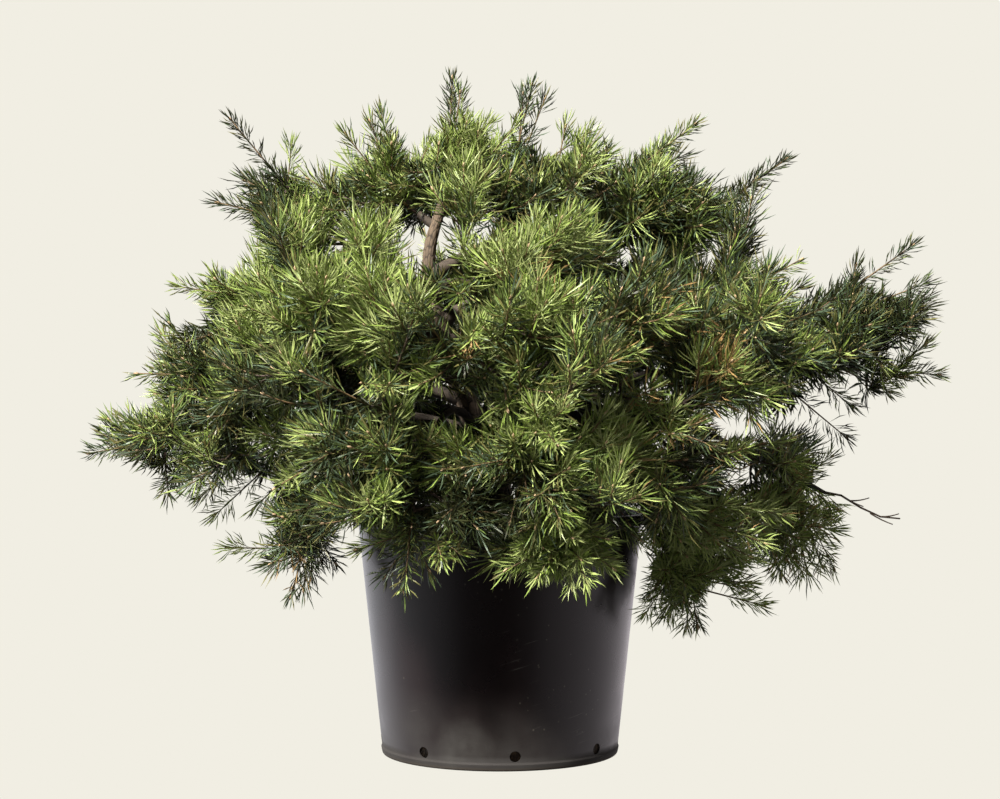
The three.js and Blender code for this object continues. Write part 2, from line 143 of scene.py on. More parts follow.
# One row for each mass of needles: the trunk height of its bough, where its leading shoot ends, the
# degrees at which the bough climbs and the tip points, the share of the curve with no needles, how
# far side shoots stand off the stem, and where further leading shoots end
MASSES = {
    "crown_top": (768, (-67, 20, 955), 75, 88, 0, 118, [(30, -20, 882)]),
    "upper_mid_left": (735, (-172, 40, 910), 30, 70, 0, 92, []),
    "upper_mid_right": (752, (48, 60, 950), 25, 86, 0, 96, [(134, 20, 874)]),
    "upper_left": (610, (-384, 0, 892), 35, 52, 0.36, 96, [(-402, -20, 768), (-262, 60, 856)]),
    "left_shoulder": (545, (-462, 0, 652), 25, 8, 0.4, 92, [(-362, 80, 728)]),
    "left_mid": (490, (-508, -60, 528), 20, 4, 0.4, 104, [(-446, -140, 600)]),
    "left_low": (440, (-575, -50, 416), 22, -8, 0.38, 104, [(-410, 30, 322)]),
    "left_bottom": (385, (-290, -60, 212), 52, -80, 0.44, 84, [(-388, -20, 286)]),
    "upper_right": (665, (282, 0, 884), 30, 42, 0.36, 98, [(196, -60, 838)]),
    "right_shoulder": (600, (416, 50, 840), 32, 42, 0.4, 94, []),
    "right_upper": (560, (424, -40, 690), 22, 38, 0.4, 100, [(340, 60, 716)]),
    "right_high": (505, (586, 0, 714), 20, 42, 0.46, 92, []),
    "right_tip": (462, (625, 0, 526), 22, -4, 0.46, 88, [(496, 20, 432)]),
    "right_low": (425, (560, 0, 322), 42, -16, 0.48, 98, [(466, -40, 250)]),
    "right_hanging": (392, (272, -70, 172), 58, -86, 0.5, 84, [(372, -50, 206)]),
    "front_high": (640, (6, -340, 706), 15, 46, 0, 110, [(112, -280, 736)]),
    "left_front": (580, (-326, -290, 612), 15, 30, 0.36, 112, [(-240, -300, 668)]),
    "front_left": (520, (-168, -440, 512), 12, 8, 0.3, 110, [(-250, -370, 530)]),
    "front_centre": (555, (-30, -470, 574), 12, 16, 0.3, 108, [(-110, -420, 620)]),
    "front_right": (570, (138, -430, 592), 12, 18, 0.3, 108, [(216, -350, 640)]),
    "front_low": (450, (70, -480, 436), 20, -14, 0.36, 108, [(-50, -450, 410)]),
    "front_apron": (372, (90, -340, 250), 56, -80, 0.44, 84, [(0, -370, 280)]),
    "front_apron_left": (388, (-120, -330, 246), 52, -80, 0.44, 84, [(-190, -300, 300)]),
    "left_front_low": (425, (-290, -300, 376), 26, -22, 0.4, 102, []),
    "right_front": (535, (420, -240, 610), 18, 26, 0.36, 110, [(290, -320, 530)]),
    "right_front_low": (440, (270, -350, 432), 26, -14, 0.4, 106, [(380, -220, 440)]),
    "back_high": (630, (20, 400, 660), 24, 14, 0, 116, [(70, 290, 800), (-120, 300, 760)]),
    "back_left": (530, (-330, 330, 606), 22, 24, 0.4, 112, [(-170, 420, 560)]),
    "back_right": (540, (400, 300, 620), 22, 24, 0.4, 112, [(200, 430, 560)]),
    "back_low_left": (425, (-170, 440, 420), 32, -14, 0.4, 112, [(-390, 240, 390), (-270, 400, 310)]),
    "back_low_right": (412, (170, 450, 400), 34, -18, 0.4, 112, [(400, 280, 410), (270, 400, 300)]),
}

# Where still more leading shoots end, finer than the solids tell apart
TWIG_ENDS = {
    "crown_top": [(-27, 10, 886), (-54, 10, 934), (-8, 10, 888), (-80, 20, 884)],
    "upper_mid_left": [(-224, 20, 874), (-97, 40, 866), (-188, 40, 896)],
    "upper_mid_right": [(68, 60, 932), (34, 60, 938)],
    "upper_right": [(110, 20, 868), (152, 20, 852), (94, 20, 886), (70, 110, 720), (130, 100, 730)],
    "right_shoulder": [(150, 90, 680), (220, 110, 690)],
    "upper_left": [(-293, 20, 859), (-230, 90, 690), (-180, 110, 710)],
    "right_high": [(606, 0, 634), (500, 0, 690), (606, 0, 658)],
    "right_upper": [(428, -20, 652), (120, 60, 640), (190, 80, 630)],
    "right_tip": [(468, 20, 482), (556, 10, 498), (500, 0, 476), (604, 0, 576)],
    "right_low": [(474, 10, 418), (386, -20, 268), (440, -30, 290), (394, -20, 238), (478, -10, 334),
                  (452, -20, 250), (420, -40, 246)],
    "right_hanging": [(196, -115, 222), (228, -90, 190), (330, -60, 262), (356, -50, 238),
                      (216, -80, 188), (190, -130, 200), (251, -150, 280), (344, -60, 232),
                      (322, -60, 240), (278, -60, 216)],
    "left_low": [(-560, 0, 444), (-554, -10, 470), (-470, 0, 370), (-430, 20, 346), (-352, 0, 332)],
    "left_shoulder": [(-410, 20, 676), (-200, 60, 640), (-250, 90, 650), (-150, 40, 630), (-165, 0, 645)],
    "left_mid": [(-488, -20, 500), (-478, -10, 592), (-150, -10, 610), (-170, 10, 590)],
    "left_bottom": [(-258, -60, 240), (-270, -70, 222), (-205, -60, 278), (-220, -60, 260),
                    (-240, -60, 262)],
    "front_left": [(-30, -90, 640)],
    "front_centre": [(0, -60, 650), (30, -100, 630)],
    "front_right": [(50, -50, 660), (90, -40, 650), (80, -80, 630)],
    "front_apron": [(40, -375, 268), (110, -372, 262), (150, -320, 275), (190, -225, 305),
                    (20, -370, 330), (90, -385, 322), (140, -350, 318)],
    "front_apron_left": [(-150, -300, 262), (-84, -310, 268), (-180, -260, 318), (-110, -330, 330),
                         (-58, -290, 312)],
    "front_low": [(10, -400, 336), (-80, -385, 340), (90, -390, 350)],
    "back_low_left": [(-120, 110, 450), (-160, 150, 460), (-125, 270, 334), (-112, 235, 346),
                      (-130, 250, 360), (-80, 300, 480), (-40, 330, 430), (-84, 300, 372),
                      (-24, 310, 362), (-110, 330, 392), (-60, 340, 338), (-130, 290, 350),
                      (-100, 280, 356), (-66, 290, 358), (-36, 290, 350), (-50, 310, 392),
                      (-16, 280, 344)],
    "back_high": [(-60, 300, 560), (60, 320, 540), (120, 250, 620), (90, 300, 600), (160, 280, 584),
                  (110, 190, 650), (-70, 200, 690), (30, 180, 700)],
    "back_left": [(-140, 120, 520), (-100, 130, 480), (-180, 150, 540), (-150, 190, 610)],
    "back_right": [(160, 220, 620), (210, 200, 600), (200, 170, 520)],
    "back_low_right": [(60, 330, 470), (50, 310, 362), (110, 320, 350), (60, 190, 430), (100, 200, 408),
                       (30, 300, 352), (180, 170, 440), (150, 190, 400), (205, 200, 460), (160, 260, 340),
                       (192, 245, 336), (10, 245, 362), (16, 290, 350), (120, 110, 388), (95, 130, 376),
                       (140, 90, 400)],
    "right_front_low": [(200, -200, 346), (170, -250, 326), (236, -190, 336), (301, -180, 318),
                        (383, -180, 338), (357, -190, 300), (340, -170, 280)],
}
# Branches whose leading shoot has lost its needles
BARE_ENDS = ("right_low",)

# Where the front view looks from, at the height of the crown's middle
EYE = (0, -2900, 492)
# Openings in the crown that the front view sees through: x and z where its sight line passes the
# pot's axis, and a radius there. Many were measured on the photo by a program, not placed by eye
SKY_GAPS = [
    (-94, 729, 15), (-80, 712, 9), (-116, 714, 10), (-223, 707, 9), (-22, 724, 8), (163, 860, 11),
    (64, 885, 16), (40, 885, 9), (28, 868, 8), (-122, 858, 9), (18, 900, 12), (290, 836, 14),
    (410, 728, 22), (-100, 892, 13), (-196, 842, 13), (-306, 828, 11), (-324, 841, 10), (-341, 858, 10),
    (-260, 840, 20), (-381, 696, 11), (-446, 608, 18), (-425, 606, 12), (-362, 730, 17), (-406, 800, 12),
    (-224, 238, 14), (-324, 372, 11), (-526, 508, 10), (-562, 488, 12), (-363, 348, 14), (-334, 360, 11),
    (-349, 301, 15), (-303, 240, 13), (-208, 302, 13), (-203, 240, 10), (-509, 539, 13), (-520, 371, 18),
    (177, 690, 8), (295, 690, 8), (393, 794, 7), (484, 682, 8), (556, 650, 17), (457, 650, 9),
    (522, 712, 16), (455, 469, 19), (473, 455, 14), (460, 371, 14), (529, 484, 15), (489, 521, 11),
    (323, 465, 8), (346, 387, 12), (474, 358, 11), (306, 216, 22), (394, 196, 9), (449, 287, 9),
    (449, 371, 11), (516, 673, 9), (549, 690, 9), (489, 262, 22), (520, 337, 22), (204, 265, 8),
    (-436, 720, 38), (-440, 778, 26), (-378, 722, 14), (-258, 856, 16), (-534, 589, 38), (-584, 512, 36),
    (-440, 288, 38), (75, 850, 20), (12, 876, 9), (176, 888, 26), (197, 864, 20), (-504, 328, 28),
    (-391, 338, 9), (311, 845, 28), (392, 760, 25), (374, 763, 11), (98, 843, 9), (314, 220, 9),
    (465, 352, 8), (348, 379, 9), (432, 488, 7), (-288, 247, 9), (365, 690, 8), (415, 690, 9),
    (336, 455, 9), (549, 556, 8), (345, 826, 16), (298, 808, 9), (458, 705, 40), (533, 684, 12),
    (546, 414, 44), (492, 388, 30), (526, 267, 44),
]
# Hollows between the tiers of the front, laid out the same way, that are open to the dark inside
HOLLOWS = [
    (-112, 336, 15), (6, 362, 11), (-44, 480, 17), (-102, 478, 15), (-215, 520, 19), (-222, 494, 15),
    (-66, 588, 13), (-100, 590, 14), (28, 776, 13), (85, 785, 13), (133, 788, 12), (-352, 470, 10),
    (62, 548, 12), (112, 468, 13), (197, 529, 13), (185, 326, 15),
]
# How far forward of the pot's axis a hollow starts
HOLLOW_FRONT = -110
# Places with dry needles, laid out the same way, and their share there
DRY_PLACES = [
    (318, 555, 34, 0.42), (-42, 562, 18, 0.3), (85, 686, 18, 0.3), (1, 680, 14, 0.3),
    (-290, 240, 30, 0.3), (240, 590, 80, 0.07), (270, 460, 100, 0.07), (410, 330, 120, 0.05),
]
# Places laid out the same way where sprays are dealt brighter kinds as painted light, or darker ones as
# painted shade where the last number is below 0.
# Set from measured differences in brightness between zones of the photo and of a render
TONES = [
    (85, 268, 70, 0.9), (-80, 345, 75, -1.6), (-41, 589, 60, -0.5), (127, 589, 70, -0.9),
    (-41, 421, 60, -0.5), (-20, 330, 80, -1.2), (15, 362, 60, -1.3), (145, 340, 50, -1.4),
    (-250, 335, 75, -1.2), (200, 350, 70, -0.9), (-40, 860, 55, 0.5), (-60, 940, 50, -0.9),
    (45, 935, 60, -1.4), (-377, 790, 130, -1.5), (-160, 890, 75, -1.1), (340, 850, 120, -1.2),
    (410, 760, 90, -0.9), (-293, 673, 70, 0.4), (250, 673, 190, -0.6), (205, 680, 70, -1),
    (-480, 589, 100, -1.4), (-377, 505, 100, -1.3), (-209, 505, 80, -1.0), (-209, 421, 80, -1.2),
    (-560, 440, 90, -1.1), (-480, 360, 110, -0.6), (-280, 250, 80, -1.7), (-125, 240, 60, -1.1),
    (130, 340, 60, -0.6), (-300, 500, 60, -0.5), (170, 421, 90, 0.7), (295, 421, 60, -1.4),
    (320, 660, 90, -0.4), (400, 560, 80, -0.4), (420, 337, 100, 0.9), (270, 253, 80, 0.9),
    (575, 560, 120, -0.3), (580, 680, 120, -1.5), (500, 630, 100, -0.9), (-390, 890, 60, -1.2),
    (420, 850, 60, -0.8), (460, 430, 70, -0.8),
]

# The lengths of a shoot's own wood: of leading shoots, side shoots and finer ones
LEADER_AXIS = 98
SHOOT_AXIS = 50
WHORL_AXIS = 38
# How much further a side shoot's twig runs than its base, so that its tip stays where it was
TWIG_ON = 28
# Its radii, how it curves up, and the points of its line
SHOOT_RADII = (1.3, 0.8)
SHOOT_RISE = 0.12
AXIS_POINTS = 9
BUD_LENGTH = 7
BUD_RADIUS = 1.9
# Finer shoots end this far under the dome
FINE_UNDER_DOME = 12
# The share of their finer shoots that thin masses keep; the rest keep them all
THIN = {
    "right_tip": 0.7, "right_low": 0.6, "right_hanging": 0.65, "left_bottom": 0.6, "back_low_right": 0.5,
    "back_right": 0.7, "left_low": 0.65, "front_high": 0.8, "left_front": 0.8, "front_left": 0.8,
    "front_centre": 0.8, "front_right": 0.8, "right_front": 0.8,
}


def unit(vectors):
    """Each vector divided by its length."""
    return vectors / np.linalg.norm(vectors, axis=-1, keepdims=True)


def mix(low, high, share):
    """The value a share of the way from low to high."""
    return low + (high - low) * share


def smooth_step(low, high, values):
    """0 below low, 1 above high, and 3t^2 - 2t^3 between them."""
    share = np.clip((values - low) / (high - low), 0, 1)
    return share * share * (3 - 2 * share)


def across(directions):
    """Two unit vectors square to each direction and to each other."""
    steep = np.abs(directions[..., 2:]) > 0.9
    helper = np.where(steep, np.array([1.0, 0.0, 0.0]), UP)
    first = unit(np.cross(directions, helper))
    return first, np.cross(directions, first)


def quadratic(a, b, c, t):
    """The curve of three points at t: (1-t)^2 a + 2(1-t)t b + t^2 c."""
    return (1 - t) ** 2 * a + 2 * (1 - t) * t * b + t**2 * c


def turns(count):
    """Angles that share a full turn evenly."""
    return np.arange(count) * 2 * math.pi / count


def as_arrays(rows):
    """The columns of some rows, each as one array."""
    return [np.array(column) for column in zip(*rows)]


def under_dome(tip, room=0):
    """Whether a tip is under the dome, whose height falls with the square of the distance out."""
    return tip[2] < DOME_HEIGHT - room - DOME_FALL * (tip[0] ** 2 + tip[1] ** 2)


class Curve:
    """A curve held as many points, and read by the share of its length."""

    def __init__(self, points):
        self.points = points
        steps = np.linalg.norm(np.diff(points, axis=0), axis=1)
        self.reached = np.concatenate([[0], np.cumsum(steps)])
        self.length = self.reached[-1]

    def at(self, share):
        """Points at shares of the length."""
        wanted = np.asarray(share) * self.length
        return np.stack([np.interp(wanted, self.reached, self.points[:, i]) for i in range(3)], -1)

    def tangent(self, share, step=0.004):
        """Unit directions at shares of the length: the chord from just before to just after."""
        share = np.asarray(share)
        return unit(self.at(np.minimum(share + step, 1)) - self.at(np.maximum(share - step, 0)))


def bezier(a, b, c, d, count=240):
    """The cubic curve of four points: (1-t)^3 a + 3(1-t)^2 t b + 3(1-t)t^2 c + t^3 d."""
    t = np.linspace(0, 1, count)[:, None]
    return Curve((1 - t) ** 3 * a + 3 * (1 - t) ** 2 * t * b + 3 * (1 - t) * t**2 * c + t**3 * d)


def through(points, count=60):
    """A smooth curve through points: a cubic between each two, whose slopes weigh the steps beside
    a point by the square roots of their lengths. Past each end it takes the last step again."""
    p = np.array(points, float)
    p = np.vstack([2 * p[0] - p[1], p, 2 * p[-1] - p[-2]])
    t = np.linspace(0, 1, count, endpoint=False)[:, None]
    pieces = []
    for a, b, c, d in zip(p, p[1:], p[2:], p[3:]):
        before, step, after = (math.sqrt(np.linalg.norm(s)) for s in (b - a, c - b, d - c))
        leaving = ((b - a) / before - (c - a) / (before + step) + (c - b) / step) * step
        arriving = ((c - b) / step - (d - b) / (step + after) + (d - c) / after) * step
        pieces.append(b * (2 * t**3 - 3 * t**2 + 1) + leaving * (t**3 - 2 * t**2 + t)
                      + c * (3 * t**2 - 2 * t**3) + arriving * (t**3 - t**2))
    return Curve(np.vstack(pieces + [p[-2:-1]]))


TRUNK_CURVE = through(TRUNK_LEAN)


def trunk_share(height):
    """The share of the trunk's curve that lies at a height."""
    return float(np.interp(height, TRUNK_CURVE.points[:, 2], TRUNK_CURVE.reached)) / TRUNK_CURVE.length


def trunk_radius(share):
    """The trunk's radius, which thins with the share to a power and swells at the foot by an
    amount that fades with height."""
    height = np.maximum(TRUNK_CURVE.at(share)[..., 2] - TRUNK_FOOT, 0)
    return mix(*TRUNK_RADII, share**TRUNK_TAPER) * (1 + TRUNK_FLARE * np.exp(-height / FLARE_HEIGHT))


def pitched(outward, degrees):
    """A direction at an angle above the horizon, in the upright plane of outward."""
    angle = math.radians(degrees)
    return outward * math.cos(angle) + UP * math.sin(angle)


class Branch:
    """One bough with its stem: a curve that leaves the trunk at one pitch and ends at another."""

    def __init__(self, name, row):
        fork, tip, rise, pitch, self.bare, self.spread, also = row
        self.name = name
        self.tip = np.array(tip, float)
        self.also = [np.array(end, float) for end in also]
        start = TRUNK_CURVE.at(trunk_share(fork))
        outward = unit((self.tip - start) * (1, 1, 0))
        bend = abs(rise - pitch) / 180
        handle = np.linalg.norm(self.tip - start) * (HANDLE_STRAIGHT + HANDLE_BENT * bend)
        self.curve = bezier(start, start + pitched(outward, rise) * handle,
                            self.tip - pitched(outward, pitch) * handle, self.tip)
        self.side = np.cross(UP, outward)
        self.stem_end = 1 - SHOOT_LENGTH / self.curve.length

    def radius(self, share):
        """Thins from a collar at the trunk to the end of the bare stretch, then to the stem's end."""
        if self.bare == 0:
            return mix(TRUNK_STEM_RADIUS, STEM_TIP_RADIUS, share / self.stem_end)
        collar = 1 + COLLAR * np.exp(-share / COLLAR_LENGTH)
        bough = mix(*BOUGH_RADII, np.minimum(share / self.bare, 1)) * collar
        past = np.maximum(share - self.bare, 0) / (self.stem_end - self.bare)
        return bough * mix(1, STEM_TIP_RADIUS / STEM_RADIUS, past)

    def leading_shoot(self):
        """Carries straight on from the end of the stem."""
        base = self.curve.at(self.stem_end)
        direction = unit(self.tip - base)
        return base - direction * TWIG_SUNK, base, direction

    def further_shoot(self, end):
        """Leaves the stem as late as it can while still pointing forward, and ends at a place."""
        share = self.stem_end
        while share > self.bare + FURTHER_FIRST:
            ahead = unit(end - self.curve.at(share))
            if ahead @ self.curve.tangent(share) >= FURTHER_COSINE:
                break
            share -= FURTHER_STEP
        root = self.curve.at(share)
        direction = unit(unit(end - root) + UP * TWIG_LIFT)
        return root, end - direction * SHOOT_LENGTH, direction

    def side_shoot(self, index, attempt):
        """Stands off the stem, each a golden angle on from the last and shorter towards the stem's
        end. Gives nothing where it would end above the dome."""
        share = mix(self.bare, self.stem_end, (index + SIDE_OFFSET) / SIDE_COUNT)
        root = self.curve.at(share)
        tangent = self.curve.tangent(share)
        out = unit(np.cross(self.side, tangent))
        turn = (index + 1) * GOLDEN_ANGLE + attempt * SIDE_TURN
        outward = tangent * math.cos(TWIG_ANGLE) + math.sin(TWIG_ANGLE) * (
            out * math.cos(turn) + self.side * math.sin(turn))
        reach = self.spread * (1 - SIDE_SHORTEN * attempt) * mix(1, SIDE_TIP_SHARE, index / SIDE_COUNT)
        base = root + outward * reach
        direction = unit(outward + UP * TWIG_LIFT)
        tip = base + direction * SHOOT_LENGTH
        return (root, base, direction) if under_dome(tip) else None


BRANCHES = [Branch(name, row) for name, row in MASSES.items()]
FOLIAGE_NODES = ["needles_" + branch.name for branch in BRANCHES]


def front_view(points):
    """Where the front view's sight lines through points pass the pot's axis: x and z there."""
    scale = -EYE[1] / (points[..., 1] - EYE[1])
    return np.stack([points[..., 0] * scale, EYE[2] + (points[..., 2] - EYE[2]) * scale], -1)


def near_places(points, places, margin=0):
    """Whether each point is seen from the front within a place's radius and the margin."""
    seen = front_view(points)[..., None, :]
    rows = np.array(places, float)
    return (np.linalg.norm(seen - rows[:, :2], axis=-1) < rows[:, 2] + margin).any(-1)


def tone_at(points):
    """How much brighter sprays at points are dealt, as painted light, or darker as painted shade where
    the number is below 0: each place's number, whole within half its radius and fading from there to the
    radius."""
    rows = np.array(TONES, float)
    away = np.linalg.norm(front_view(points)[:, None] - rows[:, :2], axis=-1) / rows[:, 2]
    return ((1 - smooth_step(0.5, 1, away)) * rows[:, 3]).sum(1)


def pot_radius(heights):
    """The radius of the pot's outer wall, which widens evenly from its base to its rim."""
    return mix(BASE_RADIUS, RIM_RADIUS, heights / POT_HEIGHT)


def in_pot(points, margin):
    """Whether each point is within a margin of the pot and its compost."""
    reach = np.hypot(points[..., 0], points[..., 1])
    height = points[..., 2]
    return (height < POT_HEIGHT + margin) & (reach < LIP_RADIUS + margin)


def in_trunk(points, margin, steps=60):
    """Whether each point is within a margin of the trunk, tried as balls along its centre line."""
    shares = np.linspace(0, 1, steps)
    line = TRUNK_CURVE.at(shares)
    away = np.linalg.norm(points[..., None, :] - line, axis=-1) - trunk_radius(shares)
    return (away < margin).any(-1)


def outside_box(points, margin):
    """Whether each point is further than a margin outside the frame's box."""
    low, high = (np.array(corner) / MM for corner in CAD_BOX)
    return ((points < low - margin) | (points > high + margin)).any(-1)


class Growth:
    """What grows on the limbs: twigs, the needled shoots at their ends, and the older wood that
    still carries needles."""

    # The room that shoots leave round the pot, the trunk and openings, and inside the box
    POT_ROOM = 12
    TRUNK_ROOM = 5
    GAP_ROOM = 9
    BOX_ROOM = 4
    # How far needles reach past a shoot's tip, and how far back its twig bends, as a share of it
    NEEDLE_REACH = 30
    KNEE = 0.45
    # The points of a twig near its limb that may cross an opening, and those that are inside the crown
    TWIG_FREE = 3
    TWIG_INNER = 5
    # The needled stretch of a stem behind its leading shoot, where finer shoots leave it, the distance
    # past which they count as inside the crown, and the share of the curve that stays bare
    STEM_NEEDLED = 170
    STEM_NODES = (30, 62, 94, 128)
    STEM_INNER = 70
    STEM_FIRST = 0.1
    # Finer shoots at the base of a leading shoot, of a further one and of a side shoot: how many stand
    # there, their angle to what carries them, and how long their twigs are
    BY_LEADER = (3, 0.6, 8)
    BY_FURTHER = (3, 0.6, 12)
    BY_SIDE = (4, 0.75, 10)
    # How many stand at each place on a stem and at what angle, and the angles and twig lengths of
    # those along a twig
    ON_STEM = (2, 0.78)
    ON_TWIG = (0.85, 24)
    # Twigs on a stem are this long at its end, and longer by a share of how far back they stand
    STEM_TWIG = 20
    STEM_TWIG_BACK = 0.1
    # The points of a twig that finer shoots leave, with how many leave each
    TWIG_NODES = ((6, 2), (4, 2), (2, 1))
    # How far finer shoots stray in their turn and their lean, and the range of their lengths
    TURN_STRAYS = 0.2
    LEAN_STRAYS = 0.12
    LENGTHS = (0.75, 1.2)
    # How long needles are, as shares: on leading and further shoots, beside a leading shoot, on a stem,
    # and on finer shoots against those that carry them
    LEADER_SCALE = 0.62
    FURTHER_SCALE = 0.72
    WHORL_SCALE = 0.7
    STEM_SCALE = 0.85
    FINER = 0.92
    FINER_BY_SIDE = 0.95
    # How thick finer twigs, a bare twig and its forks are, as shares
    FINER_TWIG = 0.7
    BARE_TWIG = 0.75
    BARE_FORK = 0.5
    # A bare twig's waves up and sideways, each as its height and how many radians run along the twig
    WAVES = ((5, 7), (3, 9))
    # The points at which it forks and to which side, and how far a fork runs along it as a share of it,
    # down, sideways and up again
    FORKS = ((2, 1), (3, -1), (5, 1), (6, -1))
    FORK_ALONG = 0.26
    FORK_DOWN = 9
    FORK_ASIDE = 16
    FORK_UP = 5

    def __init__(self, seed):
        self.seed = seed
        self.kept = 1.0
        # Each twig's line and thickness, each shoot's line, needle length and whether it is inside the
        # crown and leading, and the line and needle length of each stretch of older wood
        self.twigs = []
        self.shoots = []
        self.old_wood = []

    def shoot(self, root, base, direction, axis_length, scale, leading=False, thickness=1.0,
              inner=False):
        """A twig that bends from its root to its base, and carries on as a shoot that curves up.
        It is left out where it would run into the pot, the trunk, an opening or a hollow, or past
        the box or the dome. A leading shoot keeps its place."""
        t = np.linspace(0, 1, AXIS_POINTS)[:, None]
        knee = base - direction * np.linalg.norm(base - root) * self.KNEE
        twig = quadratic(root, knee, base, t)
        rise = 0 if leading else SHOOT_RISE
        axis = base + direction * axis_length * t + UP * axis_length * rise * t**2
        tip = axis[-1] + direction * self.NEEDLE_REACH * scale
        reach = np.vstack([twig[self.TWIG_FREE:], axis, tip])
        if in_pot(reach, self.POT_ROOM).any() or in_trunk(axis, self.TRUNK_ROOM).any():
            return None
        if not leading:
            if not under_dome(tip, FINE_UNDER_DOME) or outside_box(tip, self.BOX_ROOM):
                return None
            if near_places(reach, SKY_GAPS, self.GAP_ROOM).any():
                return None
            if (near_places(reach, HOLLOWS, self.GAP_ROOM) & (reach[:, 1] < HOLLOW_FRONT)).any():
                return None
        self.twigs.append((twig, thickness))
        self.shoots.append((axis, scale, inner, leading))
        return twig

    def bare_twig(self, root, tip):
        """A thin twig with no needles that wavers a little, and shorter ones that fork off it."""
        t = np.linspace(0, 1, AXIS_POINTS)[:, None]
        along = tip - root
        side = unit(np.cross(along, UP))
        (height, rate), (width, side_rate) = self.WAVES
        line = root + along * t + UP * height * np.sin(t * rate) + side * width * np.sin(t * side_rate)
        self.twigs.append((line, self.BARE_TWIG))
        for place, turn in self.FORKS:
            reach = along * self.FORK_ALONG - UP * self.FORK_DOWN * turn + side * self.FORK_ASIDE * turn
            self.twigs.append((line[place] + reach * t + UP * self.FORK_UP * t**2, self.BARE_FORK))

    def laterals(self, point, direction, count, angle, twig_length, scale, inner=False):
        """Shoots round a point of a twig, evenly turned and leaning forward at an angle."""
        first, second = across(direction)
        phase = self.random.uniform(0, 2 * math.pi)
        for i in range(count):
            stray = self.random.uniform(-self.TURN_STRAYS, self.TURN_STRAYS)
            turn = phase + (i + stray) * 2 * math.pi / count
            lean = angle + self.random.uniform(-self.LEAN_STRAYS, self.LEAN_STRAYS)
            length = self.random.uniform(*self.LENGTHS)
            if self.random.uniform() > self.kept:
                continue
            outward = direction * math.cos(lean) + math.sin(lean) * (
                first * math.cos(turn) + second * math.sin(turn))
            base = point + outward * twig_length * length
            self.shoot(point, base, unit(outward + UP * TWIG_LIFT), WHORL_AXIS * length, scale,
                       thickness=self.FINER_TWIG, inner=inner)

    def draw(self, *numbers):
        """Starts a stream of chance that only these numbers and the seed decide, so that a change to
        one shoot leaves the others as they are."""
        self.random = np.random.default_rng((self.seed, *numbers))

    def grow_on(self, branch, number):
        """All the shoots of one branch: its leading shoot, further ones except where they would end in
        an opening, side shoots, and the finer ones that stand in whorls at the base of each and
        along its twig."""
        self.draw(number)
        self.kept = THIN.get(branch.name, 1.0)
        curve, end = branch.curve, branch.stem_end
        root, base, direction = branch.leading_shoot()
        if branch.name in BARE_ENDS:
            self.bare_twig(root, branch.tip)
        else:
            self.shoot(root, base, direction, LEADER_AXIS, self.LEADER_SCALE, leading=True)
            self.laterals(base, direction, *self.BY_LEADER, self.WHORL_SCALE)
        for back in self.STEM_NODES:
            share = end - back / curve.length
            if share > self.STEM_FIRST:
                twig_length = self.STEM_TWIG + back * self.STEM_TWIG_BACK
                self.laterals(curve.at(share), curve.tangent(share), *self.ON_STEM, twig_length,
                              self.STEM_SCALE, inner=back > self.STEM_INNER)
        needled = max(self.STEM_FIRST, end - self.STEM_NEEDLED / curve.length)
        self.old_wood.append((curve.at(np.linspace(needled, end, AXIS_POINTS)), self.STEM_SCALE))
        for end in branch.also + [np.array(end, float) for end in TWIG_ENDS.get(branch.name, ())]:
            self.draw(number, *np.abs(end).astype(int))
            if not near_places(end, SKY_GAPS).any():
                self.grow_shoot(*branch.further_shoot(end), LEADER_AXIS, self.FURTHER_SCALE, leading=True)
        for index in range(SIDE_COUNT):
            self.draw(number, index)
            for attempt in range(SIDE_TRIES):
                found = branch.side_shoot(index, attempt)
                if found is None:
                    continue
                root, base, direction = found
                if self.grow_shoot(root, base + direction * TWIG_ON, direction, SHOOT_AXIS, 1.0):
                    break

    def grow_shoot(self, root, base, direction, axis_length, scale, leading=False):
        """A shoot with a whorl of smaller ones at its base and more along its twig."""
        twig = self.shoot(root, base, direction, axis_length, scale, leading)
        if twig is None:
            return False
        self.old_wood.append((twig, scale))
        if leading:
            self.laterals(base, direction, *self.BY_FURTHER, scale * self.FINER)
        else:
            self.laterals(base, direction, *self.BY_SIDE, scale * self.FINER_BY_SIDE)
        for place, count in self.TWIG_NODES:
            along = unit(twig[place + 1] - twig[place - 1])
            self.laterals(twig[place], along, count, *self.ON_TWIG, scale * self.FINER,
                          inner=place < self.TWIG_INNER)
        return True


@functools.cache
def grown(seed):
    """The whole crown's growth, worked out once."""
    growth = Growth(seed)
    for number, branch in enumerate(BRANCHES):
        growth.grow_on(branch, number)
    return growth


def new_mesh(name, vertices, faces, flat=False):
    """A mesh from its vertices in millimetres and arrays of faces that each have 3 or 4 corners."""
    mesh = bpy.data.meshes.new(name)
    corners = np.concatenate([part.ravel() for part in faces])
    sizes = np.concatenate([np.full(len(part), part.shape[1]) for part in faces])
    mesh.vertices.add(len(vertices))
    mesh.vertices.foreach_set("co", (vertices * MM).astype(np.float32).ravel())
    mesh.loops.add(len(corners))
    mesh.loops.foreach_set("vertex_index", corners.astype(np.int32))
    mesh.polygons.add(len(sizes))
    mesh.polygons.foreach_set("loop_start", (np.cumsum(sizes) - sizes).astype(np.int32))
    mesh.update(calc_edges=True)
    if flat:
        mesh.shade_flat()
    else:
        mesh.shade_smooth()
    return mesh


def linked(name, data):
    """A new object in the scene."""
    made = bpy.data.objects.new(name, data)
    bpy.context.scene.collection.objects.link(made)
    return made


def new_piece(name, mesh, material, nodes):
    """A finished piece that rides on the plant's body and stands for nodes of the frame."""
    piece = linked(name, mesh)
    mesh.materials.append(material)
    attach(piece, "root")
    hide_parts(*nodes)
    return piece


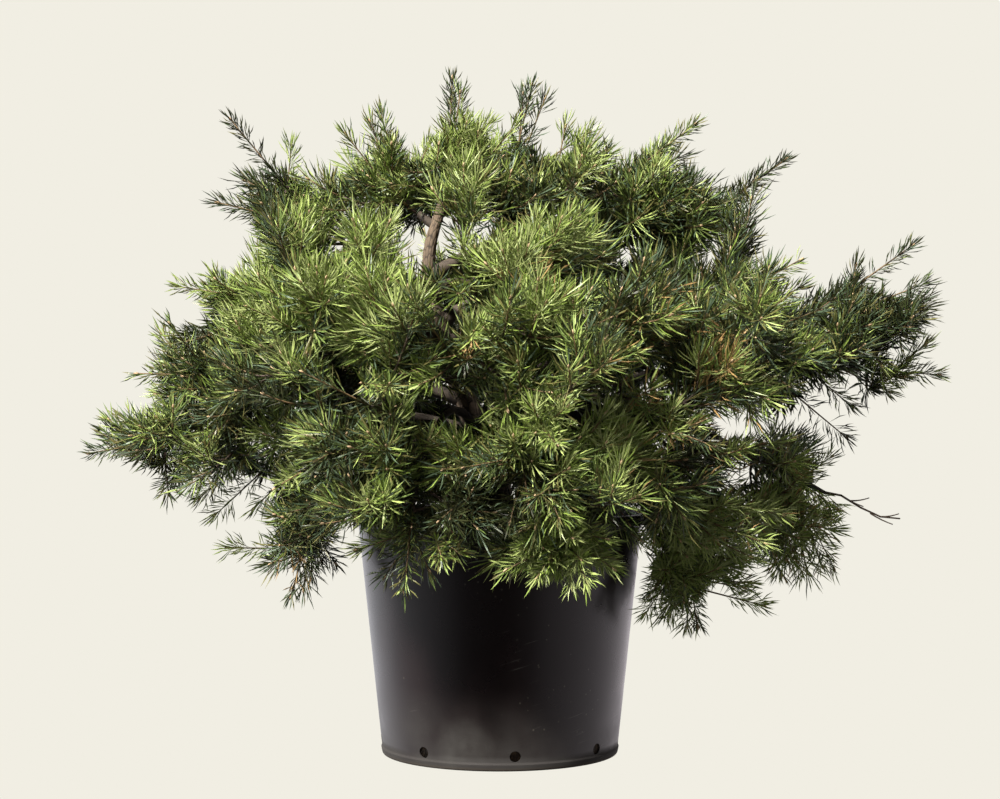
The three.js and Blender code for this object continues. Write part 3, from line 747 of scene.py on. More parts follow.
def closed_faces(rings, sides):
    """Faces of rings of corners that stand one after the other, and of the two corners that close the
    first and the last: quads between rings and triangles at the ends. They face outwards where each
    ring turns the right-handed way round the direction of the rings."""
    ring = np.arange(rings - 1)[:, None] * sides
    here = np.arange(sides)
    there = (here + 1) % sides
    quads = np.stack([ring + here, ring + there, ring + sides + there, ring + sides + here], -1)
    last = (rings - 1) * sides
    foot = np.full(sides, rings * sides)
    caps = np.concatenate([np.stack([foot, there, here], -1),
                           np.stack([foot + 1, last + here, last + there], -1)])
    return quads.reshape(-1, 4), caps


def tubes(lines, radii, sides):
    """Closed tubes along many lines at once: round each point of a line stands a ring of corners,
    centre + radius (cos a first + sin a second), and a last corner closes each end."""
    count, rings = radii.shape
    first, second = across(unit(np.gradient(lines, axis=1)))
    angles = turns(sides)
    around = first[:, :, None] * np.cos(angles)[:, None] + second[:, :, None] * np.sin(angles)[:, None]
    body = lines[:, :, None] + around * radii[:, :, None, None]
    corners = np.concatenate([body.reshape(count, -1, 3), lines[:, :1], lines[:, -1:]], 1)
    start = np.arange(count)[:, None, None] * (rings * sides + 2)
    quads, caps = closed_faces(rings, sides)
    return corners.reshape(-1, 3), [(quads + start).reshape(-1, 4), (caps + start).reshape(-1, 3)]


# Factors and a scale for cell_noise: the fractions of scaled sines look like chance
HASHES = ((127.1, 311.7), (269.5, 183.3))
HASH_SCALE = 43758.5453


def cell_noise(x, y, columns):
    """Distances to the nearest and second nearest of a jittered grid of centres, one to each unit
    cell. The grid repeats after a number of columns, so a pattern closes round a limb."""
    column, row = np.floor(x), np.floor(y)
    near = np.full(x.shape, 9.0)
    second = np.full(x.shape, 9.0)
    for i in (-1, 0, 1):
        for j in (-1, 0, 1):
            wrapped = np.mod(column + i, columns)
            jitter = [np.modf(np.abs(np.sin(wrapped * a + (row + j) * b) * HASH_SCALE))[0]
                      for a, b in HASHES]
            away = np.hypot(column + i + jitter[0] - x, row + j + jitter[1] - y)
            second = np.minimum(second, np.maximum(near, away))
            near = np.minimum(near, away)
    return near, second


# A flake's length against its width, and how much of its width the slope to a crack takes
FLAKE_LONG = 1.7
CRACK_SLOPE = 0.35


def limb(curve, shares, radius, side, sides, flake, relief):
    """A limb with flaking bark, as rings of corners, with how proud of its cracks each corner is.
    Each ring is centre + r (cos a out + sin a across). r is the radius and the relief times how far
    the corner is from the crack between two flakes, up to a flake's flat middle."""
    angles = turns(sides)
    centre = curve.at(shares)
    tangent = curve.tangent(shares)
    out = unit(np.cross(side, tangent))
    other = np.cross(tangent, out)
    columns = max(4, round(2 * math.pi * radius.mean() / flake))
    x = np.broadcast_to(np.arange(sides) * columns / sides, (len(shares), sides))
    y = np.broadcast_to((shares * curve.length / (FLAKE_LONG * flake))[:, None], x.shape)
    near, second = cell_noise(x, y, columns)
    proud = smooth_step(0, CRACK_SLOPE, second - near)
    size = radius[:, None] + relief[:, None] * (proud - 0.5)
    body = centre[:, None] + size[..., None] * (
        out[:, None] * np.cos(angles)[:, None] + other[:, None] * np.sin(angles)[:, None])
    return body, proud


def closed_limb(body, proud):
    """A limb's rings with a corner in the middle of each end."""
    corners = np.concatenate([body.reshape(-1, 3), body[:1].mean(1), body[-1:].mean(1)])
    return corners, closed_faces(*body.shape[:2]), np.concatenate([proud.ravel(), [0.5, 0.5]])


def joined(parts):
    """Several sets of corners, faces and values as one."""
    corners, faces, values = [], [], []
    start = 0
    for part_corners, part_faces, part_values in parts:
        faces += [part + start for part in part_faces]
        corners.append(part_corners)
        values.append(part_values)
        start += len(part_corners)
    return np.concatenate(corners), faces, np.concatenate(values)


def bark_piece(name, parts, material, nodes):
    """A piece of bark whose corners keep how proud they stand, for the material to read."""
    corners, faces, proud = joined(parts)
    mesh = new_mesh(name, corners, faces)
    values = mesh.attributes.new("proud", "FLOAT", "POINT")
    values.data.foreach_set("value", proud.astype(np.float32))
    new_piece(name, mesh, material, nodes)


class Finish:
    """A material being made, with short calls that add nodes and join them up."""

    def __init__(self, name, **constants):
        self.material = bpy.data.materials.new(name)
        self.material.use_nodes = True
        self.tree = self.material.node_tree
        self.shader = self.tree.nodes["Principled BSDF"]
        for socket, value in constants.items():
            self.set(socket.replace("_", " "), value)

    @classmethod
    def on(cls, tree):
        """The same calls on an empty node tree of another kind."""
        finish = cls.__new__(cls)
        tree.nodes.clear()
        finish.tree = tree
        return finish

    def put(self, socket, value):
        """Sets a socket to a value, or joins it to another node's output."""
        if isinstance(value, bpy.types.NodeSocket):
            self.tree.links.new(value, socket)
        elif hasattr(socket.default_value, "__len__") and len(socket.default_value) == 4:
            socket.default_value = (*value[:3], 1)
        else:
            socket.default_value = value

    def node(self, kind, output=0, inputs=None, **properties):
        """Adds a node and gives one of its outputs."""
        made = self.tree.nodes.new("ShaderNode" + kind)
        for name, value in properties.items():
            setattr(made, name, value)
        for name, value in (inputs or {}).items():
            self.put(made.inputs[name], value)
        return made.outputs[output]

    def set(self, socket, value):
        """Sets or joins one of the shader's own sockets."""
        self.put(self.shader.inputs[socket], value)

    def place(self):
        """Object coordinates."""
        return self.node("TexCoord", "Object")

    def noise(self, scale, detail=3, vector=None, stretch=None):
        """Cloudy noise from 0 to 1, on Object coordinates or on a stretched copy of them."""
        vector = vector or self.place()
        if stretch:
            vector = self.node("Mapping", inputs={"Vector": vector, "Scale": stretch})
        return self.node("TexNoise", inputs={"Vector": vector, "Scale": scale, "Detail": detail})

    def span(self, value, low, high, to_low=0.0, to_high=1.0):
        """A value's range from low to high, made another range and clamped."""
        return self.node("MapRange", inputs={"Value": value, "From Min": low, "From Max": high,
                                             "To Min": to_low, "To Max": to_high})

    def maths(self, operation, a, b):
        """One operation on two values."""
        return self.node("Math", operation=operation, inputs={0: a, 1: b})

    def times(self, a, b):
        """The product of two values."""
        return self.maths("MULTIPLY", a, b)

    def plus(self, a, b):
        """The sum of two values."""
        return self.maths("ADD", a, b)

    def blend(self, share, low, high, how="MIX"):
        """A colour the share of the way from low to high."""
        made = self.tree.nodes.new("ShaderNodeMix")
        made.data_type = "RGBA"
        made.blend_type = how
        for index, value in ((0, share), (6, low), (7, high)):
            self.put(made.inputs[index], value)
        return made.outputs[2]

    def bump(self, height, strength, distance):
        """Relief too fine for the mesh."""
        made = self.node("Bump", inputs={"Height": height, "Strength": strength, "Distance": distance})
        self.set("Normal", made)


def bark_finish(name, settings, orange_from, orange_to, shade=1.0):
    """Flaking bark: dark in its cracks, tan to grey on its flakes, and more orange with height. The
    shade darkens it all, as painted shade for limbs that stand in the crown's shade."""
    finish = Finish(name, Roughness=0.85)
    height = finish.node("SeparateXYZ", 2, {"Vector": finish.place()})
    proud = finish.node("Attribute", "Fac", attribute_name="proud")
    patchy = finish.span(finish.noise(28, 5), 0.35, 0.65)
    flake = finish.blend(patchy, settings.bark_tan, settings.bark_grey)
    high = finish.times(finish.span(height, orange_from, orange_to), 0.7)
    flake = finish.blend(high, flake, settings.bark_orange)
    fine = finish.noise(420, 4)
    flake = finish.blend(finish.span(fine, 0.3, 0.7, 0, 0.35), flake, settings.bark_crack)
    crack = finish.span(proud, 0.0, 0.6)
    colour = finish.blend(crack, settings.bark_crack, flake)
    # Painted shade: the whole bark is multiplied by the shade
    finish.set("Base Color", finish.blend(1.0, colour, (shade,) * 3, "MULTIPLY"))
    finish.bump(fine, 0.5, 0.0006)
    return finish.material


def twig_finish(name, colour, shade):
    """Thin bark with fine mottling."""
    finish = Finish(name, Roughness=0.7)
    mottle = finish.span(finish.noise(180, 3), 0.3, 0.7)
    finish.set("Base Color", finish.blend(mottle, colour, shade))
    finish.bump(finish.noise(900, 2), 0.4, 0.0003)
    return finish.material


def needle_finish(name, colour):
    """Waxy needles of one plain colour."""
    finish = Finish(name, Base_Color=colour, Roughness=0.42, Specular_IOR_Level=0.28)
    return finish.material


def rounded(corners, steps=5):
    """An outline whose corners are turned into arcs. Each corner is (radius, height, size), and its
    arc is the quadratic curve that starts and ends `size` from it along its two sides."""
    outline = [np.array(corners[0][:2], float)]
    for before, corner, after in zip(corners, corners[1:], corners[2:]):
        here = np.array(corner[:2], float)
        start = here + unit(np.array(before[:2]) - here) * corner[2]
        end = here + unit(np.array(after[:2]) - here) * corner[2]
        outline += [quadratic(start, here, end, t) for t in np.linspace(0, 1, steps)]
    outline.append(np.array(corners[-1][:2], float))
    return np.array(outline)


def spaced(outline, step):
    """An outline with more points, so that none of its sides is longer than a step."""
    points = [outline[:1]]
    for a, b in zip(outline, outline[1:]):
        count = max(1, math.ceil(np.linalg.norm(b - a) / step))
        points.append(a + (b - a) * (np.arange(1, count + 1) / count)[:, None])
    return np.concatenate(points)


def turned(outline, segments):
    """A surface turned round the axis from an outline that starts and ends on it:
    (r cos a, r sin a, z) for each point (r, z), with one corner at each end."""
    angles = turns(segments)
    radius, height = outline[1:-1, :1], outline[1:-1, 1:]
    body = np.stack([radius * np.cos(angles), radius * np.sin(angles), height + 0 * angles], -1)
    ends = np.array([(0, 0, outline[0, 1]), (0, 0, outline[-1, 1])])
    return np.concatenate([body.reshape(-1, 3), ends]), closed_faces(*body.shape[:2])


def cut(piece, cutter):
    """Takes one object out of another, and leaves the result in its mesh."""
    modifier = piece.modifiers.new("cut", "BOOLEAN")
    modifier.operation = "DIFFERENCE"
    modifier.solver = "EXACT"
    modifier.object = cutter
    evaluated = piece.evaluated_get(bpy.context.evaluated_depsgraph_get())
    mesh = bpy.data.meshes.new_from_object(evaluated)
    piece.modifiers.clear()
    piece.data = mesh
    bpy.data.objects.remove(cutter)


def colour_setting(name, description, default):
    """A colour that a user may change."""
    return FloatVectorProperty(
        name=name, description=description, subtype="COLOR", default=default, min=0, max=1)


def length_setting(name, description, default, least, most):
    """A length in metres that a user may change."""
    return FloatProperty(name=name, description=description, subtype="DISTANCE", unit="LENGTH",
                         default=default, min=least, max=most)


class PotSettings(PropertyGroup):
    colour: colour_setting("Plastic", "Colour of the pot's plastic", (0.0075, 0.0042, 0.0044))
    dust: colour_setting("Dust", "Colour of the dust near its foot", (0.0375, 0.0353, 0.033))
    segments: IntProperty(
        name="Segments", description="Steps round the pot", default=224, min=32, max=512)


class CompostSettings(PropertyGroup):
    dark: colour_setting("Peat", "Colour of the peat", (0.022, 0.014, 0.009))
    light: colour_setting("Bark", "Colour of the bark in it", (0.085, 0.055, 0.032))
    relief: length_setting("Crumbs", "Height of its crumbs", 0.003, 0, 0.02)


class WoodSettings(PropertyGroup):
    bark_tan: colour_setting("Tan bark", "Colour of fresh flakes", (0.15, 0.109, 0.076))
    bark_grey: colour_setting("Grey bark", "Colour of weathered flakes", (0.1, 0.08, 0.064))
    bark_orange: colour_setting("Orange bark", "Colour of young bark higher up", (0.17, 0.118, 0.072))
    bark_crack: colour_setting("Cracks", "Colour between the flakes", (0.0279, 0.0186, 0.0136))
    old_twig: colour_setting("Old twigs", "Colour of twigs from earlier years", (0.0682, 0.0434, 0.0279))
    young_twig: colour_setting("Young twigs", "Colour of this year's twigs", (0.1612, 0.0992, 0.0434))
    bud: colour_setting("Buds", "Colour of the buds", (0.3224, 0.2232, 0.1302))
    relief: length_setting("Bark relief", "Height of the trunk's flakes", 0.0016, 0, 0.01)


class NeedleSettings(PropertyGroup):
    length: length_setting("Length", "Length of a needle", 0.04, 0.01, 0.12)
    width: length_setting("Width", "Width of a needle at its widest", 0.0019, 0.0005, 0.01)
    count: IntProperty(
        name="Count", description="How many needles there are", default=168000, min=1000, max=400000)
    seed: IntProperty(
        name="Seed", description="Which of many like crowns is grown", default=7, min=0, max=9999)
    # The needle colours below are dealt out by spray partly as painted light and shade: the brighter
    # kinds go to sprays placed where light falls, deep and shade to sprays in shade inside the crown
    fresh: colour_setting("Fresh", "Colour of the youngest needles", (0.235, 0.275, 0.1))
    lime: colour_setting("Lime", "Colour of young needles past their first weeks", (0.165, 0.23, 0.045))
    light: colour_setting("Light", "Colour of well lit needles", (0.275, 0.34, 0.102))
    middle: colour_setting("Middle", "Colour of most needles", (0.1, 0.145, 0.037))
    olive: colour_setting("Olive", "Colour of older needles", (0.115, 0.108, 0.036))
    deep: colour_setting("Deep", "Colour of shaded needles", (0.038, 0.053, 0.016))
    blue: colour_setting("Blue", "Colour of needles with a waxy bloom", (0.066, 0.097, 0.057))
    # Painted shade for needles deep inside the crown, which are also the oldest
    shade: colour_setting("Shade", "Colour of the oldest needles, deep inside", (0.022, 0.0245, 0.008))
    dry: colour_setting("Dry", "Colour of dead needles", (0.29, 0.1856, 0.0754))


class StageSettings(PropertyGroup):
    backdrop: colour_setting("Backdrop", "Colour behind the plant", (0.8796, 0.8550, 0.7682))
    floor_radius: length_setting("Floor", "Radius of the floor", 9, 1, 50)
    key: FloatProperty(
        name="Key light", description="Strength of the light from the upper left", default=12.4,
        min=0, max=50)
    low_fill: FloatProperty(
        name="Low fill", description="Strength of the wide light from the front", default=0.5,
        min=0, max=50)


class PINE_OT_stage(Operator):
    """Makes the floor, the light and the front camera"""
    bl_idname = "pine.stage"
    bl_label = "Stage"

    # The camera's lens in millimetres, on a sensor 36 mm wide
    LENS = 74.57
    KEY_FROM = (-0.5, -0.7, 0.88)
    FILL_FROM = (-0.2, -1.0, 0.0)
    # How bright the studio is at angles from the front round to the right, in degrees
    STUDIO = ((-180, 1.2), (-118, 1.25), (-98, 0.75), (-60, 0.38), (-30, 0.06), (0, 0.024), (22, 0.05),
              (44, 0.34), (75, 0.6), (105, 0.85), (155, 1.1), (180, 1.2))
    STUDIO_MOST = 1.25
    # Its tint in gloss on the left and on the right, and where it lights rough surfaces
    LEFT_TINT = (0.96, 0.95, 1.0)
    RIGHT_TINT = (1.0, 0.92, 0.96)
    FILL_TINT = (1.0, 0.98, 0.88)
    # The share of the studio that lights rough surfaces; gloss shows all of it
    FILL = 0.75
    # How it dims overhead and underneath: between two heights, from one share to another
    OVERHEAD = (0.1, 0.6, 1.0, 0.12)
    UNDERNEATH = (-0.6, -0.3, 0.4, 1.0)
    # The floor's steps round its rim, and how far it lies under the pot
    FLOOR_SIDES = 96
    FLOOR_DEPTH = 0.4

    def execute(self, context):
        settings = context.scene.pine_stage
        self.floor(settings)
        self.world(context.scene, settings)
        self.lights(settings)
        camera = linked("front_camera", bpy.data.cameras.new("front_camera"))
        camera.location = Vector(EYE) * MM
        camera.rotation_euler = (math.radians(90), 0, 0)
        camera.data.lens = self.LENS
        context.scene.camera = camera
        context.scene.view_settings.view_transform = "Standard"
        return {"FINISHED"}

    def floor(self, settings):
        """A wide disc just under the pot that looks as even as the backdrop, so that they meet with
        no line, and lets the studio's own light through to the plant."""
        count = self.FLOOR_SIDES
        angles = turns(count)
        rim = np.stack([np.cos(angles), np.sin(angles), 0 * angles], -1) * settings.floor_radius / MM
        here = np.arange(count)
        faces = np.stack([np.full(count, count), here, (here + 1) % count], -1)
        corners = np.concatenate([rim, [(0, 0, 0)]]) - (0, 0, self.FLOOR_DEPTH)
        finish = Finish("floor", Base_Color=(0, 0, 0), Roughness=1.0, Specular_IOR_Level=0.0,
                        Emission_Color=settings.backdrop, Emission_Strength=1.0)
        seen = finish.node("LightPath", "Is Camera Ray")
        through = finish.node("BsdfTransparent")
        mixed = finish.node("MixShader", inputs={0: seen, 1: through, 2: finish.shader.outputs[0]})
        output = finish.tree.nodes["Material Output"].inputs["Surface"]
        finish.tree.links.new(mixed, output)
        mesh = new_mesh("floor", corners, [faces])
        mesh.materials.append(finish.material)
        linked("floor", mesh)

    def world(self, scene, settings):
        """A studio that is bright behind the plant and beside it, dark where the camera stands and
        dimmer overhead and underneath. Seen straight from the camera it is one even colour."""
        world = bpy.data.worlds.new("studio")
        world.use_nodes = True
        finish = Finish.on(world.node_tree)
        place = finish.node("TexCoord", "Generated")
        x, y, z = (finish.node("SeparateXYZ", i, {"Vector": place}) for i in range(3))
        angle = finish.maths("ARCTAN2", x, finish.times(y, -1))
        turn = finish.span(angle, -math.pi, math.pi)
        ramp = finish.tree.nodes.new("ShaderNodeValToRGB")
        stops = ramp.color_ramp.elements
        for degrees, level in self.STUDIO[1:-1]:
            stops.new((degrees + 180) / 360)
        for stop, (degrees, level) in zip(stops, self.STUDIO):
            stop.color = [level / self.STUDIO_MOST] * 3 + [1]
        finish.put(ramp.inputs[0], turn)
        high = finish.span(z, *self.OVERHEAD)
        low = finish.span(z, *self.UNDERNEATH)
        glossy = finish.node("LightPath", "Is Glossy Ray")
        strength = finish.span(glossy, 0, 1, self.FILL * self.STUDIO_MOST, self.STUDIO_MOST)
        side = finish.blend(finish.span(x, -0.2, 0.2), self.LEFT_TINT, self.RIGHT_TINT)
        tint = finish.blend(glossy, self.FILL_TINT, side)
        light = finish.node("Background", inputs={
            "Color": finish.blend(1.0, ramp.outputs[0], tint, "MULTIPLY"),
            "Strength": finish.times(finish.times(high, low), strength)})
        seen = finish.node("Background", inputs={"Color": settings.backdrop})
        path = finish.node("LightPath", "Is Camera Ray")
        mixed = finish.node("MixShader", inputs={0: path, 1: light, 2: seen})
        output = finish.tree.nodes.new("ShaderNodeOutputWorld")
        finish.tree.links.new(mixed, output.inputs["Surface"])
        scene.world = world

    def lights(self, settings):
        """A key light from the front, above and to the left, and a wide faint one lower down that
        leaves no gleam."""
        for name, energy, degrees, tint, start in (
                ("key", settings.key, 7, (1.0, 0.97, 0.9), self.KEY_FROM),
                ("low_fill", settings.low_fill, 50, (1.0, 0.98, 0.92), self.FILL_FROM)):
            light = bpy.data.lights.new(name, "SUN")
            light.energy = energy
            light.angle = math.radians(degrees)
            light.color = tint
            lamp = linked(name, light)
            lamp.rotation_euler = Vector(start).to_track_quat("Z", "Y").to_euler()
            lamp.visible_glossy = name == "key"


class PINE_OT_pot(Operator):
    """Makes the pot, turned from its outline, with drain holes cut through its wall"""
    bl_idname = "pine.pot"
    bl_label = "Pot"

    WALL_STEP = 12
    DRILL_SIDES = 28
    DRILL_REACH = 15
    # Edges that turn by more than this look sharp
    SHARP = math.radians(40)
    # Where the patch of dust lies, and the colours of scuffs, specks and the dirty edge
    DUSTY_PATCH = (-0.05, -0.165, 0.03)
    SCUFF = (0.2, 0.19, 0.18)
    SPECK = (0.12, 0.11, 0.09)
    DIRT = (0.045, 0.034, 0.022)

    def execute(self, context):
        settings = context.scene.pine_pot
        outline = spaced(self.outline(), self.WALL_STEP)
        corners, faces = turned(outline, settings.segments)
        mesh = new_mesh("pot", corners, faces)
        pot = new_piece("nursery_pot", mesh, self.finish(settings), ["pot"])
        cut(pot, self.drills())
        pot.data.shade_smooth()
        pot.data.set_sharp_from_angle(angle=self.SHARP)
        return {"FINISHED"}

    def outline(self):
        """From the middle of the underside, up outside, over the lip, down inside to the floor."""
        step = pot_radius(FOOT_STEP_HEIGHT)
        under_lip = POT_HEIGHT - LIP_HEIGHT
        inner_rim = RIM_RADIUS - WALL
        return rounded([
            (0, 0, 0),
            (BASE_RADIUS - 1, 0, 3),
            (step, FOOT_STEP_HEIGHT, 0.5),
            (step - FOOT_STEP, FOOT_STEP_HEIGHT + 2.5, 1),
            (pot_radius(under_lip) - 0.6, under_lip, 1.5),
            (LIP_RADIUS, under_lip + 1, 1.8),
            (LIP_RADIUS, POT_HEIGHT, 2.2),
            (inner_rim, POT_HEIGHT, 1.6),
            (inner_rim - 1, under_lip, 2),
            (pot_radius(FLOOR) - WALL, FLOOR, 3),
            (0, FLOOR, 0),
        ])

    def drills(self):
        """Round bars that point at the axis, one for each drain hole."""
        angles = DRAIN_TURN + turns(DRAIN_HOLES)
        outward = np.stack([np.cos(angles), np.sin(angles), 0 * angles], -1)
        reach = pot_radius(DRAIN_HEIGHT) + np.array([-self.DRILL_REACH, self.DRILL_REACH])
        lines = outward[:, None] * reach[:, None] + UP * DRAIN_HEIGHT
        corners, faces = tubes(lines, np.full(lines.shape[:2], DRAIN_RADIUS), self.DRILL_SIDES)
        return linked("drills", new_mesh("drills", corners, faces))

    def finish(self, settings):
        """Semi-gloss plastic with dust near the foot, most of it in one patch, a dirty edge under it,
        short scuffs, specks and faint streaks."""
        finish = Finish("pot_plastic", Specular_IOR_Level=0.5)
        place = finish.place()
        height = finish.node("SeparateXYZ", 2, {"Vector": place})
        cloud = finish.noise(14, 5)
        streak = finish.noise(30, 4, stretch=(1, 1, 0.12))
        low = finish.span(height, 0.0, 0.11, 1, 0)
        dust = finish.times(low, finish.span(cloud, 0.25, 0.7))
        film = finish.times(finish.span(streak, 0.5, 0.8), 0.05)
        away = finish.node("VectorMath", 1, {0: place, 1: self.DUSTY_PATCH}, operation="DISTANCE")
        patch = finish.times(finish.span(away, 0.005, 0.045, 1, 0), finish.span(cloud, 0.25, 0.6, 0.4, 1))
        dusty = finish.plus(finish.times(dust, 0.8), film)
        dusty = finish.plus(dusty, finish.times(patch, 0.9))
        slanted = finish.node("Mapping", vector_type="TEXTURE", inputs={
            "Vector": place, "Rotation": (0, -0.3, 0), "Scale": (1, 1, 0.05)})
        scuff = finish.times(finish.span(finish.noise(19, 1, slanted), 0.68, 0.74),
                             finish.span(finish.noise(9, 2), 0.58, 0.64))
        cells = finish.node("TexVoronoi", "Distance", {"Vector": place, "Scale": 85})
        speck = finish.times(finish.span(cells, 0.09, 0.13, 1, 0),
                             finish.span(finish.noise(7, 2), 0.55, 0.6))
        colour = finish.blend(dusty, settings.colour, settings.dust)
        colour = finish.blend(finish.times(scuff, 0.25), colour, self.SCUFF)
        colour = finish.blend(finish.times(speck, 0.4), colour, self.SPECK)
        edge = finish.span(height, 0.001, 0.006, 0.6, 0)
        finish.set("Base Color", finish.blend(edge, colour, self.DIRT))
        worn = finish.plus(finish.span(cloud, 0.3, 0.7, 0.24, 0.32), finish.times(dusty, 0.3))
        finish.set("Roughness", finish.plus(worn, finish.span(height, 0.011, 0.02, 0.5, 0)))
        finish.bump(finish.noise(700, 2), 0.12, 0.0003)
        return finish.material


class PINE_OT_compost(Operator):
    """Makes the compost, a crumbly mound that fills the pot"""
    bl_idname = "pine.compost"
    bl_label = "Compost"

    SEGMENTS = 200
    TOP_RINGS = 78
    # The sizes of its crumbs, how far out their middles lie, and the height of them all that counts
    # as level. They fade out between two distances from the rim
    COARSE = 9
    FINE = 4
    CRUMB_REACH = 0.8
    LEVEL = 4
    FADE = (8, 20)
    # How far it stands clear of the pot's wall and floor, and how far crumbs raise its middle
    CLEAR = 0.6
    FLOOR_CLEAR = 0.4
    RAISED = 1
    # More columns of crumbs than there are, so that none repeats
    NO_REPEAT = 10**6
    # The chips' number and half sizes, their range of sizes, how uneven and how tilted they are, the
    # squares of the shares of the radius between which they lie, and how clear of the rim that is
    CHIPS = 260
    CHIP = (8, 4.5, 1.8)
    CHIP_SIZES = (0.5, 1.0)
    CHIP_UNEVEN = 0.3
    CHIP_TILT = 0.35
    CHIP_REACH = (0.04, 0.84)
    CHIP_CLEAR = 10
    CHIP_SEED = 11

    def execute(self, context):
        settings = context.scene.pine_compost
        corners, faces = turned(self.outline(), self.SEGMENTS)
        x, y = corners[:, 0], corners[:, 1]
        reach = np.hypot(x, y)
        lumps = sum(size * (self.CRUMB_REACH - cell_noise(x / size, y / size, self.NO_REPEAT)[0])
                    for size in (self.COARSE, self.FINE))
        top = corners[:, 2] > COMPOST_EDGE - 1
        inside = smooth_step(*self.FADE, RIM_RADIUS - reach)
        relief = settings.relief / MM / self.COARSE
        corners[:, 2] += np.where(top, relief * (lumps - self.LEVEL) * inside, 0)
        corners, faces, _ = joined([(corners, faces, reach), self.chips()])
        mesh = new_mesh("compost", corners, faces)
        new_piece("moist_compost", mesh, self.finish(settings), ["compost"])
        return {"FINISHED"}

    def mound(self, reach, top, edge):
        """The mound's height: level in the middle, then two straight slopes down to its edge."""
        shoulder, rise = COMPOST_SHOULDER
        return np.interp(reach, [COMPOST_FLAT, shoulder, edge], [top, COMPOST_EDGE + rise, COMPOST_EDGE])

    def outline(self):
        """From the pot's floor up its inner wall, then over the mound to the middle."""
        bottom = FLOOR + self.FLOOR_CLEAR
        inner = [pot_radius(z) - WALL - self.CLEAR for z in (bottom, COMPOST_EDGE)]
        radii = np.linspace(inner[1], 0, self.TOP_RINGS)
        top = np.stack([radii, self.mound(radii, COMPOST_TOP - self.RAISED, inner[1])], -1)
        return np.concatenate([[(0, bottom), (inner[0], bottom)], top])

    def chips(self):
        """Flat, uneven chips of bark that lie about on top: boxes of eight corners, each moved."""
        random = np.random.default_rng(self.CHIP_SEED)
        count = self.CHIPS
        reach = np.sqrt(random.uniform(*self.CHIP_REACH, count)) * (RIM_RADIUS - self.CHIP_CLEAR)
        turn = random.uniform(0, 2 * math.pi, count)
        size = random.uniform(*self.CHIP_SIZES, (count, 1, 1)) * np.array(self.CHIP)
        box = np.array([(x, y, z) for z in (-1, 1) for y in (-1, 1) for x in (-1, 1)], float)
        moved = random.uniform(-self.CHIP_UNEVEN, self.CHIP_UNEVEN, (count, 8, 3))
        corners = (box + moved) * size
        spin = random.uniform(0, 2 * math.pi, (count, 1))
        tilt = random.uniform(-self.CHIP_TILT, self.CHIP_TILT, (count, 1))
        x = corners[..., 0] * np.cos(spin) - corners[..., 1] * np.sin(spin)
        y = corners[..., 0] * np.sin(spin) + corners[..., 1] * np.cos(spin)
        z = corners[..., 2] + x * tilt
        ground = self.mound(reach, COMPOST_TOP, RIM_RADIUS)
        centre = np.stack([reach * np.cos(turn), reach * np.sin(turn), ground], -1)
        placed = np.stack([x, y, z], -1) + centre[:, None]
        sides = np.array([(0, 2, 3, 1), (4, 5, 7, 6), (0, 1, 5, 4),
                          (2, 6, 7, 3), (0, 4, 6, 2), (1, 3, 7, 5)])
        faces = (sides + np.arange(count)[:, None, None] * 8).reshape(-1, 4)
        return placed.reshape(-1, 3), [faces], np.zeros(count * 8)

    def finish(self, settings):
        """Dark, moist peat with flecks of bark."""
        finish = Finish("compost_mix", Roughness=0.9)
        fleck = finish.span(finish.noise(260, 4), 0.48, 0.66)
        patch = finish.span(finish.noise(60, 3), 0.35, 0.7)
        finish.set("Base Color", finish.blend(finish.times(fleck, patch), settings.dark, settings.light))
        finish.bump(finish.noise(500, 4), 0.7, 0.0012)
        return finish.material


class PINE_OT_trunk(Operator):
    """Makes the trunk, with flaking bark and a root flare that runs out in lobes"""
    bl_idname = "pine.trunk"
    bl_label = "Trunk"

    RINGS = 230
    SIDES = 80
    # Between these heights its bark turns orange
    ORANGE = (0.45, 0.75)
    FLAKE = 9
    TOP_RELIEF = 0.5
    # How deep the foot stands in the compost, and the power that crowds rings towards the foot
    SUNK = 5
    CROWDING = 1.2
    LOBES = 5
    LOBE_SHARE = 0.16
    LOBE_TURN = 0.6
    # Rings lie level at the foot and square to the trunk above this height over it
    LEVEL_TO = 60

    def execute(self, context):
        settings = context.scene.pine_wood
        foot = trunk_share(TRUNK_FOOT - self.SUNK)
        shares = mix(foot, 1, np.linspace(0, 1, self.RINGS) ** self.CROWDING)
        height = TRUNK_CURVE.at(shares)[:, 2] - TRUNK_FOOT
        relief = mix(settings.relief / MM, self.TOP_RELIEF, smooth_step(0, 1, shares))
        radius = trunk_radius(shares)
        side = np.array([0.0, 1, 0])
        body, proud = limb(TRUNK_CURVE, shares, radius, side, self.SIDES, self.FLAKE, relief)
        wave = np.cos(self.LOBES * turns(self.SIDES) + self.LOBE_TURN)
        lobe = 1 + self.LOBE_SHARE * wave * np.exp(-np.maximum(height, 0) / FLARE_HEIGHT)[:, None]
        centre = TRUNK_CURVE.at(shares)[:, None]
        body = centre + (body - centre) * lobe[..., None]
        level = 1 - smooth_step(0, self.LEVEL_TO, height)[:, None]
        body[..., 2] = mix(body[..., 2], centre[..., 2], level)
        bark_piece("trunk_bark", [closed_limb(body, proud)],
                   bark_finish("trunk_bark", settings, *self.ORANGE), ["trunk"])
        return {"FINISHED"}


